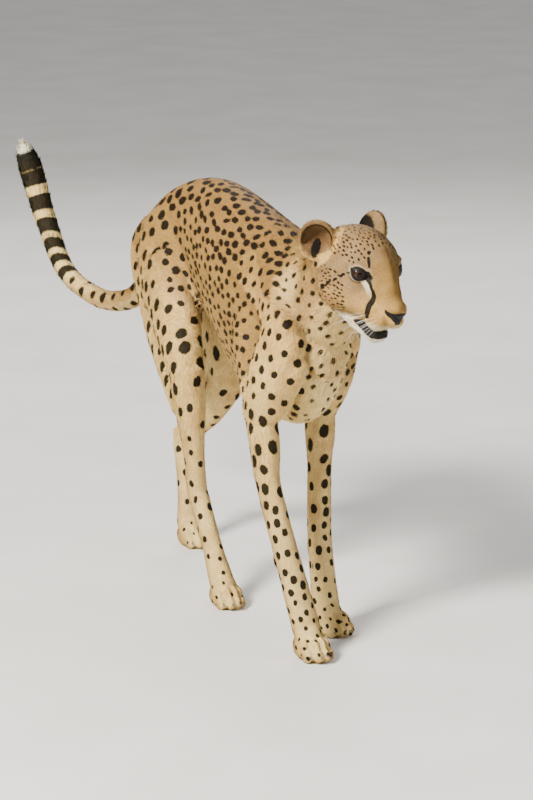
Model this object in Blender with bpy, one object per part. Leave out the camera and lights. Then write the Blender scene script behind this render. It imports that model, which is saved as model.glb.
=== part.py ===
"""A walking cheetah, life size, as a still model parted into its named pieces.

The animal faces -Y, its left side is +X and the ground is Z = 0.  Flesh is first built as
overlapping masses (tubes along the bones and ellipsoids for the muscles), fused by a voxel
remesh and smoothed, and then parted by flat cuts into head, neck, trunk, limbs and tail.
Eyes, nose pad and claws are solids of their own, let into the flesh with a thin gap.
"""

import math

import bmesh
import bpy
from mathutils import Matrix, Vector

# ---------------------------------------------------------------- driving dimensions (metres)
GAP = 0.0003                    # clearance between neighbouring solids

WITHERS = Vector((0.0, -0.115, 0.745))
HIP_HEIGHT = 0.625
HIP_Y = 0.330
CHEST_HALF_WIDTH = 0.092
LOIN_HALF_WIDTH = 0.078

HEAD_ORIGIN = Vector((0.026, -0.450, 0.711))     # point midway between the eyes
HEAD_TURN = math.radians(12.5)                   # towards the animal's left
HEAD_NOD = math.radians(15.0)                    # nose down
HEAD_TILT = math.radians(-1.5)
HEAD_SCALE = 1.02

EYE_RADIUS = 0.0160
EYE_SPREAD = 0.0370             # half the distance between the eyes' centres
EAR_SPREAD = 0.058

# each ear's turn outward from straight ahead (degrees) and height of its root in head space
EARS = {-1: {"bearing": 48, "height": 0.014}, 1: {"bearing": 92, "height": 0.021}}
EAR_DOME = ((0, -0.002, 0.009), (0.0340, 0.0170, 0.0380))        # centre, radii in the ear's frame
EAR_HOLLOW = ((0, 0.0070, 0.009), (0.0295, 0.0200, 0.0325))

NOSE_PAD = ((0.0650, 0, -0.0440), (0.0135, 0.0215, 0.0165))      # centre, radii in head space
NOSTRIL = (0.0060, 0.0036, 0.0042)
# each ring of a claw: distance ahead of its root, drop below it, half height
CLAW_RINGS = ((-0.0050, -0.0005, 0.0030), (0.0030, 0.0006, 0.0029), (0.0090, 0.0044, 0.0013))
CLAW_SIDES = 6
TAIL_CUTS = (1, 3, 5, 7)        # points of the tail's path where it is cut

EYE_FORWARD = -0.0115
EYE_HEIGHT = 0.0020

BODY_VOXEL = 0.0060
HEAD_VOXEL = 0.0032
PAW_VOXEL = 0.0032

FORE_PAW = (0.060, 0.096, 0.044)                 # width, length, height of a fore paw
HIND_PAW = (0.057, 0.092, 0.042)

BIG = 3.0                       # side of the blocks that the cutting wedges are made from


# ---------------------------------------------------------------- small geometry helpers
def clear_scene():
    """Remove every object that is in the scene."""
    for thing in list(bpy.data.objects):
        bpy.data.objects.remove(thing, do_unlink=True)


def spline(values, t):
    """Catmull-Rom value at t in 0..len-1 of a list of Vectors."""
    last = len(values) - 1
    i = min(int(t), last - 1)
    u = t - i
    p0 = values[max(i - 1, 0)]
    p1 = values[i]
    p2 = values[i + 1]
    p3 = values[min(i + 2, last)]
    return 0.5 * (2 * p1 + (p2 - p0) * u + (2 * p0 - 5 * p1 + 4 * p2 - p3) * u * u
                  + (3 * p1 - p0 - 3 * p2 + p3) * u ** 3)


def add_ring(bm, centre, across, along, half_across, half_along, sides, egg=0.0):
    """Add one oval of vertices; egg moves its widest level towards +along."""
    ring = []
    for k in range(sides):
        angle = 2 * math.pi * k / sides
        reach = half_across * math.cos(angle) * (1 + egg * math.sin(angle))
        rise = half_along * math.sin(angle)
        ring.append(bm.verts.new(centre + across * reach + along * rise))
    return ring


def skin_rings(bm, rings, start, end):
    """Join neighbouring rings with quads and close both ends with a fan to a tip point."""
    sides = len(rings[0])
    for a, b in zip(rings, rings[1:]):
        for k in range(sides):
            bm.faces.new((a[k], a[(k + 1) % sides], b[(k + 1) % sides], b[k]))
    for ring, tip_point, flip in ((rings[0], start, True), (rings[-1], end, False)):
        tip = bm.verts.new(tip_point)
        for k in range(sides):
            pair = (ring[k], ring[(k + 1) % sides])
            bm.faces.new((pair[1], pair[0], tip) if flip else (pair[0], pair[1], tip))


def tube(bm, stations, side=Vector((1, 0, 0)), upright=False, sides=20, steps=5, egg=0.0,
         round_start=0.6, round_end=0.6):
    """Loft an oval tube through stations of (point, half width, half depth).

    Points and sizes follow a Catmull-Rom curve.  The first oval axis is `side`; the other is
    square to it and to the path, or to Y when upright.  round_* sets how far the end caps dome.
    """
    points = [Vector(s[0]) for s in stations]
    sizes = [Vector((s[1], s[2], 0)) for s in stations]
    count = (len(stations) - 1) * steps
    path = [spline(points, i / steps) for i in range(count + 1)]
    radii = [spline(sizes, i / steps) for i in range(count + 1)]
    rings = []
    frames = []
    for i, centre in enumerate(path):
        ahead = (path[min(i + 1, count)] - path[max(i - 1, 0)]).normalized()
        if upright:
            ahead = Vector((0, 1 if ahead.y > 0 else -1, 0))
        along = ahead.cross(side).normalized()
        across = along.cross(ahead).normalized()
        frames.append((ahead, across, along))
    cap = (0.35, 0.65, 0.87)
    ahead, across, along = frames[0]
    reach = min(radii[0].x, radii[0].y) * round_start
    for c in cap:
        rings.append(add_ring(bm, path[0] - ahead * reach * math.sqrt(1 - c * c), across, along,
                              radii[0].x * c, radii[0].y * c, sides, egg))
    start = path[0] - ahead * reach
    for centre, size, (_, across_i, along_i) in zip(path, radii, frames):
        rings.append(add_ring(bm, centre, across_i, along_i, size.x, size.y, sides, egg))
    ahead, across, along = frames[-1]
    reach = min(radii[-1].x, radii[-1].y) * round_end
    for c in reversed(cap):
        rings.append(add_ring(bm, path[-1] + ahead * reach * math.sqrt(1 - c * c), across, along,
                              radii[-1].x * c, radii[-1].y * c, sides, egg))
    skin_rings(bm, rings, start, path[-1] + ahead * reach)


def blob(bm, centre, radii, turn=None, segments=20):
    """Add an ellipsoid; turn is a 3x3 matrix that orients its axes."""
    matrix = Matrix.Translation(centre)
    if turn is not None:
        matrix = matrix @ turn.to_4x4()
    matrix = matrix @ Matrix.Diagonal((*radii, 1))
    bmesh.ops.create_uvsphere(bm, u_segments=segments, v_segments=segments * 3 // 5, radius=1.0,
                              matrix=matrix)


def new_object(name, bm):
    """Turn a bmesh into a linked object with outward faces."""
    bmesh.ops.recalc_face_normals(bm, faces=bm.faces)
    mesh = bpy.data.meshes.new(name)
    bm.to_mesh(mesh)
    bm.free()
    thing = bpy.data.objects.new(name, mesh)
    bpy.context.scene.collection.objects.link(thing)
    return thing


def apply_modifiers(thing):
    """Replace an object's mesh with what its modifiers make of it."""
    graph = bpy.context.evaluated_depsgraph_get()
    mesh = bpy.data.meshes.new_from_object(thing.evaluated_get(graph))
    old = thing.data
    thing.modifiers.clear()
    thing.data = mesh
    bpy.data.meshes.remove(old)


def fuse(name, bm, voxel, rounds, swell):
    """Fuse overlapping masses with a voxel remesh and round their creases.

    Each round softens and then restores, which removes creases but keeps volume; the last
    softening is not restored, and swell is the thickness given back for it.
    """
    thing = new_object(name, bm)
    remesh = thing.modifiers.new("fuse", "REMESH")
    remesh.mode = "VOXEL"
    remesh.voxel_size = voxel
    factors = [0.50, -0.502] * rounds + [0.50]
    for factor in factors:
        smooth = thing.modifiers.new("smooth", "SMOOTH")
        smooth.factor = factor
        smooth.iterations = 6
    grow = thing.modifiers.new("swell", "DISPLACE")
    grow.strength = swell
    grow.mid_level = 0.0
    apply_modifiers(thing)
    return thing


def thin(source, name, triangles):
    """A copy of a fused mesh decimated to about the given number of triangles."""
    thing = bpy.data.objects.new(name, source.data.copy())
    bpy.context.scene.collection.objects.link(thing)
    have = sum(len(face.vertices) - 2 for face in thing.data.polygons)
    reduce = thing.modifiers.new("thin", "DECIMATE")
    reduce.ratio = triangles / have
    apply_modifiers(thing)
    return thing


# ---------------------------------------------------------------- parting
def keep_island(bm, seed):
    """Keep only the connected body that holds the vertex nearest to seed."""
    start = min(bm.verts, key=lambda v: (v.co - seed).length_squared)
    found = {start}
    queue = [start]
    while queue:
        vert = queue.pop()
        for edge in vert.link_edges:
            other = edge.other_vert(vert)
            if other not in found:
                found.add(other)
                queue.append(other)
    bmesh.ops.delete(bm, geom=[v for v in bm.verts if v not in found], context="VERTS")


def cut_by_planes(bm, planes, shift=0.0):
    """Remove what lies beyond each (point, normal) plane, moved by shift, and cap the cuts."""
    for point, normal in planes:
        unit = normal.normalized()
        geometry = bm.verts[:] + bm.edges[:] + bm.faces[:]
        bmesh.ops.bisect_plane(bm, geom=geometry, dist=1e-6, plane_co=point + unit * shift,
                               plane_no=unit, clear_outer=True)
        open_edges = [edge for edge in bm.edges if len(edge.link_faces) == 1]
        bmesh.ops.holes_fill(bm, edges=open_edges, sides=0)


def slice_out(source, name, planes, seed):
    """New object: the part of source inside all planes that is connected near seed."""
    bm = bmesh.new()
    bm.from_mesh(source.data)
    cut_by_planes(bm, planes)
    keep_island(bm, seed)
    bmesh.ops.triangulate(bm, faces=bm.faces[:], ngon_method="EAR_CLIP")
    return new_object(name, bm)


def wedge(planes, name="wedge"):
    """Cutter: a big block trimmed by planes, each let out by the gap."""
    bm = bmesh.new()
    bmesh.ops.create_cube(bm, size=BIG)
    cut_by_planes(bm, planes, GAP)
    return as_cutter(new_object(name, bm))


def as_cutter(thing):
    """Mark an object as a tool that is not part of the model."""
    thing.display_type = "WIRE"
    thing.hide_render = True
    return thing


def cut_away(thing, cutters):
    """Subtract each cutter from thing with an exact Boolean, then drop the cutters."""
    for cutter in cutters:
        boolean = thing.modifiers.new("cut", "BOOLEAN")
        boolean.operation = "DIFFERENCE"
        boolean.object = cutter
    apply_modifiers(thing)
    for cutter in cutters:
        bpy.data.objects.remove(cutter, do_unlink=True)


def tidy_solid(thing, seed):
    """Merge slivers left by cutting, keep the main body and triangulate it."""
    bm = bmesh.new()
    bm.from_mesh(thing.data)
    bmesh.ops.remove_doubles(bm, verts=bm.verts[:], dist=2e-5)
    keep_island(bm, seed)
    bmesh.ops.triangulate(bm, faces=bm.faces[:], ngon_method="EAR_CLIP")
    bm.to_mesh(thing.data)
    bm.free()


# ---------------------------------------------------------------- skeleton
SIDES = ((-1, "right"), (1, "left"))

# Every leg is a chain of joints from the trunk down to the ball of the foot.
FORELEGS = {
    "right": {
        "blade": Vector((-0.036, -0.105, 0.690)),
        "shoulder": Vector((-0.070, -0.268, 0.580)),
        "elbow": Vector((-0.092, -0.205, 0.430)),
        "mid": Vector((-0.092, -0.240, 0.300)),
        "wrist": Vector((-0.078, -0.285, 0.185)),
        "ball": Vector((-0.055, -0.335, 0.036)),
        "heading": math.radians(4),
    },
    "left": {
        "blade": Vector((0.036, -0.080, 0.690)),
        "shoulder": Vector((0.056, -0.225, 0.570)),
        "elbow": Vector((0.060, -0.130, 0.425)),
        "mid": Vector((0.051, -0.146, 0.300)),
        "wrist": Vector((0.042, -0.168, 0.170)),
        "ball": Vector((0.043, -0.203, 0.034)),
        "heading": math.radians(14),
    },
}
HINDLEGS = {
    "right": {
        "hip": Vector((-0.064, HIP_Y, HIP_HEIGHT)),
        "seat": Vector((-0.050, 0.432, 0.615)),
        "knee": Vector((-0.096, 0.145, 0.450)),
        "hock": Vector((-0.068, 0.160, 0.200)),
        "ball": Vector((-0.060, 0.050, 0.032)),
        "heading": math.radians(2),
    },
    "left": {
        "hip": Vector((0.064, HIP_Y, HIP_HEIGHT)),
        "seat": Vector((0.048, 0.432, 0.605)),
        "knee": Vector((0.072, 0.345, 0.370)),
        "hock": Vector((0.058, 0.545, 0.200)),
        "ball": Vector((0.055, 0.500, 0.032)),
        "heading": math.radians(8),
    },
}
TAIL_PATH = [Vector(p) for p in (
    (0.000, 0.385, 0.690), (0.000, 0.455, 0.630), (-0.012, 0.530, 0.555), (-0.034, 0.600, 0.500),
    (-0.062, 0.705, 0.487), (-0.087, 0.830, 0.524), (-0.098, 0.920, 0.618), (-0.114, 0.960, 0.715),
    (-0.1245, 0.957, 0.745))]


def head_matrix():
    """Head space to world: x forward along the nose, y to the animal's left, z to the crown."""
    turn = Matrix.Rotation(HEAD_TURN - math.pi / 2, 3, "Z")
    nod = Matrix.Rotation(HEAD_NOD, 3, "Y")
    tilt = Matrix.Rotation(HEAD_TILT, 3, "X")
    basis = (turn @ nod @ tilt).to_4x4()
    return Matrix.Translation(HEAD_ORIGIN) @ basis @ Matrix.Scale(HEAD_SCALE, 4)


# ---------------------------------------------------------------- flesh masses
def add_trunk(bm):
    """Rib cage, loin and rump as one egg-section tube along the spine."""
    rows = (  # y, back line, belly line, half width
        (-0.290, 0.655, 0.490, 0.046),
        (-0.240, 0.700, 0.424, 0.070),
        (-0.170, 0.735, 0.392, 0.085),
        (-0.080, 0.753, 0.394, CHEST_HALF_WIDTH),
        (0.010, 0.770, 0.424, CHEST_HALF_WIDTH),
        (0.090, 0.785, 0.468, 0.086),
        (0.170, 0.795, 0.515, LOIN_HALF_WIDTH),
        (0.240, 0.793, 0.550, 0.074),
        (0.310, 0.781, 0.570, 0.080),
        (0.375, 0.755, 0.580, 0.080),
        (0.430, 0.708, 0.595, 0.062),
    )
    stations = [((0, y, (top + low) / 2), half, (top - low) / 2) for y, top, low, half in rows]
    tube(bm, stations, upright=True, sides=28, egg=-0.10, round_start=0.8, round_end=0.9)


def add_neck(bm):
    """Neck from between the shoulders to the back of the skull."""
    base = head_matrix() @ Vector((-0.080, 0, -0.026))
    inside = head_matrix() @ Vector((-0.030, 0, -0.024))
    stations = [((0, -0.130, 0.610), 0.072, 0.128), ((0.000, -0.215, 0.625), 0.072, 0.112),
                ((0.004, -0.295, 0.655), 0.066, 0.092), (base, 0.060, 0.072), (inside, 0.044, 0.052)]
    tube(bm, stations, sides=24, round_start=0.3, round_end=0.5)


def add_foreleg(bm, leg, sign):
    """Shoulder blade, upper arm, triceps, forearm and pastern of one foreleg."""
    shoulder = leg["shoulder"]
    elbow = leg["elbow"]
    mid = leg["mid"]
    tube(bm, [(leg["blade"], 0.020, 0.055), (leg["blade"].lerp(shoulder, 0.55), 0.034, 0.062),
              (shoulder, 0.036, 0.054)], round_start=1.5, round_end=1.0)
    tube(bm, [(shoulder + Vector((0, 0.005, 0)), 0.037, 0.058),
              (shoulder.lerp(elbow, 0.55), 0.039, 0.062), (elbow, 0.033, 0.047)],
         round_start=1.0, round_end=1.0)
    rear = leg["blade"].lerp(elbow, 0.45) + Vector((sign * 0.020, 0.030, -0.010))
    tube(bm, [(rear, 0.028, 0.048), (elbow + Vector((0, 0.014, 0.020)), 0.027, 0.038)],
         round_start=1.4, round_end=1.2)
    tube(bm, [(shoulder.lerp(elbow, 0.35) + Vector((-sign * 0.014, -0.026, 0)), 0.030, 0.046),
              (elbow + Vector((-sign * 0.012, -0.036, 0.022)), 0.026, 0.036)],
         round_start=1.2, round_end=1.3)
    tube(bm, [(elbow + Vector((0, 0.004, 0.010)), 0.029, 0.042),
              (elbow.lerp(mid, 0.5), 0.0265, 0.0360), (mid, 0.0225, 0.0280),
              (leg["wrist"], 0.0230, 0.0235), (leg["ball"] + Vector((0, 0.008, 0.012)), 0.0265, 0.0220)])
    blob(bm, leg["wrist"] + Vector((0, 0.005, -0.012)), (0.0215, 0.0230, 0.0240))


def add_hindleg(bm, leg, sign):
    """Haunch, hamstrings, shank, hock and hind pastern of one hind leg."""
    hip = leg["hip"]
    knee = leg["knee"]
    hock = leg["hock"]
    tube(bm, [(hip + Vector((-sign * 0.012, -0.030, 0.050)), 0.040, 0.080), (hip, 0.046, 0.100),
              (hip.lerp(knee, 0.5), 0.043, 0.080), (knee, 0.034, 0.044)], round_start=1.2)
    seat = leg["seat"]
    calf = knee.lerp(hock, 0.32) + Vector((0, 0.022, 0))
    tube(bm, [(seat + Vector((0, -0.030, 0.045)), 0.036, 0.050), (seat, 0.043, 0.054),
              (seat.lerp(calf, 0.5) + Vector((0, 0.006, 0)), 0.039, 0.064), (calf, 0.027, 0.038)],
         round_start=1.2)
    blob(bm, knee, (0.033, 0.036, 0.042))
    tube(bm, [(knee, 0.033, 0.045), (knee.lerp(hock, 0.35), 0.028, 0.044),
              (knee.lerp(hock, 0.72), 0.0195, 0.027), (hock, 0.0190, 0.024)])
    heel = (hock - leg["ball"]).normalized() * 0.018 + Vector((0, 0.014, 0.004))
    tube(bm, [(hock.lerp(knee, 0.16) + Vector((0, 0.020, 0)), 0.010, 0.012),
              (hock + heel, 0.0145, 0.015)], round_end=0.9)
    tube(bm, [(hock + heel * 0.7, 0.0165, 0.0185), (hock, 0.0190, 0.0240),
              (hock.lerp(leg["ball"], 0.5), 0.0190, 0.0195),
              (leg["ball"] + Vector((0, 0.008, 0.010)), 0.0245, 0.0200)])


def add_paw(bm, ball, heading, width, length, height):
    """A foot: sole pad, knuckles and four toes; returns the places of the claws."""
    ahead = Vector((math.sin(heading), -math.cos(heading), 0))
    across = Vector((math.cos(heading), math.sin(heading), 0))
    turn = Matrix((across, -ahead, Vector((0, 0, 1)))).transposed()
    floor = Vector((ball.x, ball.y, 0))
    blob(bm, floor + Vector((0, 0, height * 0.52)), (width * 0.46, length * 0.40, height * 0.56), turn)
    claws = []
    for place, forward, rise in ((-1.5, 0.16, 0.0), (-0.5, 0.30, 0.004), (0.5, 0.30, 0.004), (1.5, 0.16, 0.0)):
        toe = floor + across * (place * width * 0.245) + ahead * (length * forward)
        knuckle = toe + Vector((0, 0, height * 0.50 + rise)) - ahead * 0.004
        blob(bm, knuckle, (width * 0.140, length * 0.27, height * 0.44), turn)
        tip = toe + ahead * (length * 0.20) + Vector((0, 0, height * 0.27 + rise * 0.5))
        blob(bm, tip, (width * 0.128, length * 0.145, height * 0.31), turn)
        claws.append((tip + ahead * (length * 0.085) + Vector((0, 0, height * 0.08)), ahead))
    return claws


def add_tail(bm):
    """Tail: tapering to the middle, then thickening into the tufted end."""
    sizes = (0.046, 0.031, 0.0235, 0.0220, 0.0205, 0.0195, 0.0210, 0.0235, 0.0205)
    stations = [(p, r, r) for p, r in zip(TAIL_PATH, sizes)]
    tube(bm, stations, sides=18, steps=6, round_start=0.3, round_end=1.5)


def add_head(bm):
    """Skull, face, muzzle and jaw masses, placed in head space."""
    place = head_matrix()
    turn = place.to_3x3().normalized()

    def lump(centre, radii):
        blob(bm, place @ Vector(centre), [r * HEAD_SCALE for r in radii], turn, 24)

    rows = (  # forward, crown line, lip line, half width
        (-0.132, 0.026, -0.076, 0.052),
        (-0.104, 0.046, -0.088, 0.061),
        (-0.070, 0.061, -0.095, 0.066),
        (-0.036, 0.061, -0.097, 0.060),
        (-0.012, 0.047, -0.096, 0.046),
        (0.006, 0.030, -0.092, 0.033),
        (0.022, 0.013, -0.088, 0.0255),
        (0.040, -0.005, -0.083, 0.0225),
        (0.053, -0.018, -0.076, 0.0205),
    )
    stations = []
    for forward, crown, jaw, half in rows:
        centre = place @ Vector((forward, 0, (crown + jaw) / 2))
        stations.append((centre, half * HEAD_SCALE, (crown - jaw) / 2 * HEAD_SCALE))
    tube(bm, stations, side=turn @ Vector((0, 1, 0)), sides=28, egg=0.06, round_start=0.5, round_end=0.55)
    jaw = [(place @ Vector(p), w * HEAD_SCALE, h * HEAD_SCALE) for p, w, h in (
        ((-0.060, 0, -0.072), 0.044, 0.030), ((-0.015, 0, -0.086), 0.034, 0.022),
        ((0.014, 0, -0.095), 0.026, 0.0175), ((0.028, 0, -0.1015), 0.0200, 0.0165))]
    tube(bm, jaw, side=turn @ Vector((0, 1, 0)), sides=20)
    lump((0.057, 0, -0.038), (0.020, 0.021, 0.016))           # end of the nose
    lump((0.050, 0, -0.054), (0.0220, 0.0140, 0.0225))        # front of the upper lip
    for sign in (-1, 1):
        lump((-0.050, sign * 0.035, -0.040), (0.056, 0.034, 0.042))      # cheek
        lump((-0.024, sign * 0.036, 0.014), (0.027, 0.022, 0.0155))      # brow
        lump((0.036, sign * 0.0170, -0.0650), (0.027, 0.0170, 0.0215))   # whisker pad
        lump((-0.100, sign * 0.050, 0.004), (0.028, 0.020, 0.028))       # ear root
        flank = [(place @ Vector(p), r * HEAD_SCALE, r * HEAD_SCALE) for p, r in (
            ((-0.040, sign * 0.034, -0.046), 0.034), ((-0.006, sign * 0.027, -0.048), 0.026),
            ((0.034, sign * 0.0155, -0.056), 0.0195))]
        tube(bm, flank, side=turn @ Vector((0, 1, 0)), sides=18)         # side of the face


def ear_frame(sign):
    """World matrix of an ear: x across the cup, y out of its opening, z to its tip."""
    pose = EARS[sign]
    tip = Vector((-0.10, sign * 0.14, 0.97)).normalized()
    bearing = math.radians(pose["bearing"])
    opening = Vector((math.cos(bearing), sign * math.sin(bearing), 0.05))
    opening = (opening - tip * opening.dot(tip)).normalized()
    across = opening.cross(tip)
    basis = Matrix((across, opening, tip)).transposed().to_4x4()
    base = Vector((-0.107, sign * EAR_SPREAD, pose["height"]))
    return head_matrix() @ Matrix.Translation(base) @ basis


def ellipsoid(name, frame, centre, radii, segments=24):
    """A single ellipsoid object placed in a frame."""
    bm = bmesh.new()
    turn = frame.to_3x3().normalized()
    blob(bm, frame @ Vector(centre), [r * HEAD_SCALE for r in radii], turn, segments)
    return new_object(name, bm)


def grown_cutter(thing):
    """A copy of a solid let out by the gap, to cut its neighbours with."""
    cutter = as_cutter(bpy.data.objects.new("seat", thing.data.copy()))
    bpy.context.scene.collection.objects.link(cutter)
    grow = cutter.modifiers.new("gap", "DISPLACE")
    grow.strength = GAP * 1.5
    grow.mid_level = 0.0
    return cutter


def build_ear(sign, seats):
    """One ear: a flattened dome hollowed to a cup and cut to sit on skull and neck."""
    frame = ear_frame(sign)
    ear = ellipsoid("ear_left" if sign > 0 else "ear_right", frame, *EAR_DOME, 15)
    hollow = as_cutter(ellipsoid("hollow", frame, *EAR_HOLLOW, 10))
    cut_away(ear, [hollow] + [grown_cutter(seat) for seat in seats])
    tidy_solid(ear, frame @ Vector((0, -0.004, 0.045)))
    return ear


# ---------------------------------------------------------------- planes of parting
def plane(point, normal):
    """A cutting plane; its normal points at what is removed."""
    return Vector(point), Vector(normal)


def flip(cut):
    """The same plane with its other side removed."""
    return cut[0], -cut[1]


def apart(cut):
    """The plane moved back by the gap, for the neighbour on the other side of a cut."""
    point, normal = flip(cut)
    return point - normal.normalized() * GAP, normal


def head_plane(point, normal):
    """A cutting plane given in head space."""
    place = head_matrix()
    return place @ Vector(point), place.to_3x3() @ Vector(normal)


NAPE = head_plane((-0.128, 0, 0.030), (-0.942, 0, -0.335))        # removes what is behind the head
NECK_BASE = plane((0, -0.240, 0.655), (0, 0.762, -0.648))          # removes the trunk
CHEST_FLOOR = plane((0, 0, 0.379), (0, 0, -1))                     # removes the forearms
SOLE = plane((0, 0, 0), (0, 0, -1))
LIP = head_plane((-0.030, 0, -0.0700), (0.135, 0, 1.0))            # removes the face above the mouth
GAPE = head_plane((-0.030, 0, -0.0697), (0.100, 0, 1.0))           # the same for the open mouth
JAW_BACK = head_plane((-0.030, 0, -0.0700), (-1.0, 0, 0.35))       # removes what is behind the jaw


def midline(sign):
    """Plane that removes the other side of the body."""
    return plane((sign * GAP / 2, 0, 0), (-sign, 0, 0))


def across_bone(a, b, share):
    """Plane square to the bone from a to b, at a share of its length; removes the b side."""
    return a.lerp(b, share), (b - a).normalized()


def across_joint(a, joint, b):
    """Plane through a joint that halves its angle; removes the side of b."""
    return joint.copy(), ((joint - a).normalized() + (b - joint).normalized()).normalized()


def arm_planes(sign):
    """The flesh outside the chest wall that holds shoulder and upper arm."""
    return [plane((sign * 0.034, -0.330, 0.550), (-sign * 0.970, 0.195, 0.140)),
            plane((0, -0.150, 0.665), (0, -0.30, 0.95)),
            plane((0, -0.048, 0.500), (0, 0.97, 0.24)),
            apart(NECK_BASE)]


def haunch_planes(sign, flank):
    """The leg beyond a plane leaning from the crotch to the hip, behind the flank plane."""
    return [plane((sign * 0.004, 0, 0.490), (-sign * 0.940, 0, 0.341)), flank, midline(sign)]


FLANKS = {-1: plane((0, 0.075, 0.430), (0, -0.92, 0.40)), 1: plane((0, 0.235, 0.450), (0, -0.99, 0.10))}


TAIL_ROOT = plane((-0.006, 0.497, 0.580), (0, 0.92, -0.39))        # removes the tail
UNDER_TAIL = plane((0, 0, 0.430), (0, 0, -1))                      # keeps the legs out of it


def tail_cut(index):
    """Plane across the tail at one of its path points; removes the tip side."""
    if index == 1:
        return TAIL_ROOT
    ahead = TAIL_PATH[index + 1] - TAIL_PATH[index - 1]
    return TAIL_PATH[index].copy(), ahead.normalized()


# ---------------------------------------------------------------- finishes
COAT = (0.62, 0.40, 0.19)
PALE_COAT = (0.78, 0.66, 0.48)
EAR_COAT = (0.42, 0.30, 0.18)
AMBER = (0.28, 0.11, 0.03)
LEATHER = (0.02, 0.018, 0.018)
HORN = (0.10, 0.08, 0.06)


FINISHES = {                    # by the start of a piece's name
    "ear": (EAR_COAT, 0.85),
    "jaw": (PALE_COAT, 0.85),
    "metatarsus": (PALE_COAT, 0.85),
    "forepaw": (PALE_COAT, 0.85),
    "hindpaw": (PALE_COAT, 0.85),
    "eye": (AMBER, 0.10),
    "nose": (LEATHER, 0.45),
    "claw": (HORN, 0.40),
}


def dress(thing, colour, roughness):
    """Give an object its own material and smooth shading."""
    material = bpy.data.materials.new(thing.name + "_finish")
    material.use_nodes = True
    shader = material.node_tree.nodes["Principled BSDF"]
    shader.inputs["Base Color"].default_value = (*colour, 1.0)
    shader.inputs["Roughness"].default_value = roughness
    shader.inputs["Metallic"].default_value = 0.0
    thing.data.materials.clear()
    thing.data.materials.append(material)
    thing.data.shade_smooth()
    thing.data.set_sharp_from_angle(angle=math.radians(45))


# ---------------------------------------------------------------- building
BODY_TRIANGLES = 2250           # trunk, neck, tail and the legs down to the paws
HEAD_TRIANGLES = 1260
FOOT_TRIANGLES = 230            # each lower leg with its paw


def build_body_flesh():
    """Trunk, neck, legs and tail fused."""
    bm = bmesh.new()
    add_trunk(bm)
    add_neck(bm)
    for sign, side in SIDES:
        add_foreleg(bm, FORELEGS[side], sign)
        add_hindleg(bm, HINDLEGS[side], sign)
    add_tail(bm)
    return fuse("body_flesh", bm, BODY_VOXEL, 7, 0.0012)


def build_head_flesh():
    """Head and neck fused, for the head's pieces; the ears are solids of their own."""
    bm = bmesh.new()
    add_neck(bm)
    add_head(bm)
    return fuse("head_flesh", bm, HEAD_VOXEL, 6, 0.0008)


def build_foot_flesh(leg, top, add_leg, sign, size):
    """One lower leg and its paw fused finely; returns it with the places of its claws."""
    bm = bmesh.new()
    add_leg(bm, leg, sign)
    cut_by_planes(bm, [(Vector((0, 0, top)), Vector((0, 0, 1)))])
    claws = add_paw(bm, leg["ball"], leg["heading"], *size)
    flesh = fuse("foot_flesh", bm, PAW_VOXEL, 3, 0.0006)
    foot = thin(flesh, "foot", FOOT_TRIANGLES)
    bpy.data.objects.remove(flesh, do_unlink=True)
    return foot, claws


def add_horn(bm, base, ahead, grow):
    """A short blunt claw that bends to the ground; grow widens it for its socket."""
    across = ahead.cross(Vector((0, 0, 1))).normalized()
    rings = []
    for along, drop, half in CLAW_RINGS:
        centre = base + ahead * along - Vector((0, 0, drop))
        rings.append(add_ring(bm, centre, across, Vector((0, 0, 1)), (half + grow) * 0.72,
                              half + grow, CLAW_SIDES))
    along, drop, _ = CLAW_RINGS[0]
    start = base + ahead * (along - grow) - Vector((0, 0, drop))
    along, drop, half = CLAW_RINGS[-1]
    end = base + ahead * (along + half + grow) - Vector((0, 0, drop + half * 0.6))
    skin_rings(bm, rings, start, end)


def build_claws(foot, claws, stem):
    """Solid claws let into a paw; returns them."""
    made = []
    cutters = []
    for number, (base, ahead) in enumerate(claws, 1):
        bm = bmesh.new()
        add_horn(bm, base, ahead, 0.0)
        made.append(new_object(f"claw_{stem}_{number}", bm))
        bm = bmesh.new()
        add_horn(bm, base, ahead, GAP * 1.3)
        cutters.append(as_cutter(new_object("socket", bm)))
    cut_away(foot, cutters)
    return made


def build_head(skull, neck):
    """Head, jaw, nose pad, eyes and ears."""
    place = head_matrix()
    crown = place @ Vector((-0.050, 0, 0.060))
    head = slice_out(skull, "head", [NAPE], crown)
    jaw = slice_out(skull, "jaw", [LIP, JAW_BACK], place @ Vector((0.034, 0, -0.110)))
    centre, radii = NOSE_PAD
    nose = ellipsoid("nose", place, centre, radii, 12)
    nostrils = []
    for sign in (-1, 1):
        at = (centre[0] + 0.0125, sign * 0.0100, centre[2] - 0.0020)
        nostrils.append(as_cutter(ellipsoid("nostril", place, at, NOSTRIL, 6)))
    cut_away(nose, nostrils)
    socket = ellipsoid("socket", place, centre, [r + GAP * 1.2 for r in radii], 12)
    cutters = [wedge([GAPE, JAW_BACK]), as_cutter(socket)]
    pieces = [head, jaw, nose]
    for sign, side in SIDES:
        at = (EYE_FORWARD, sign * EYE_SPREAD, EYE_HEIGHT)
        pieces.append(ellipsoid("eye_" + side, place, at, [EYE_RADIUS] * 3, 14))
        cutters.append(as_cutter(ellipsoid("socket", place, at, [EYE_RADIUS + GAP * 1.2] * 3, 14)))
        pieces.append(build_ear(sign, (head, neck)))
    cut_away(head, cutters)
    tidy_solid(head, crown)
    return pieces


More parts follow.
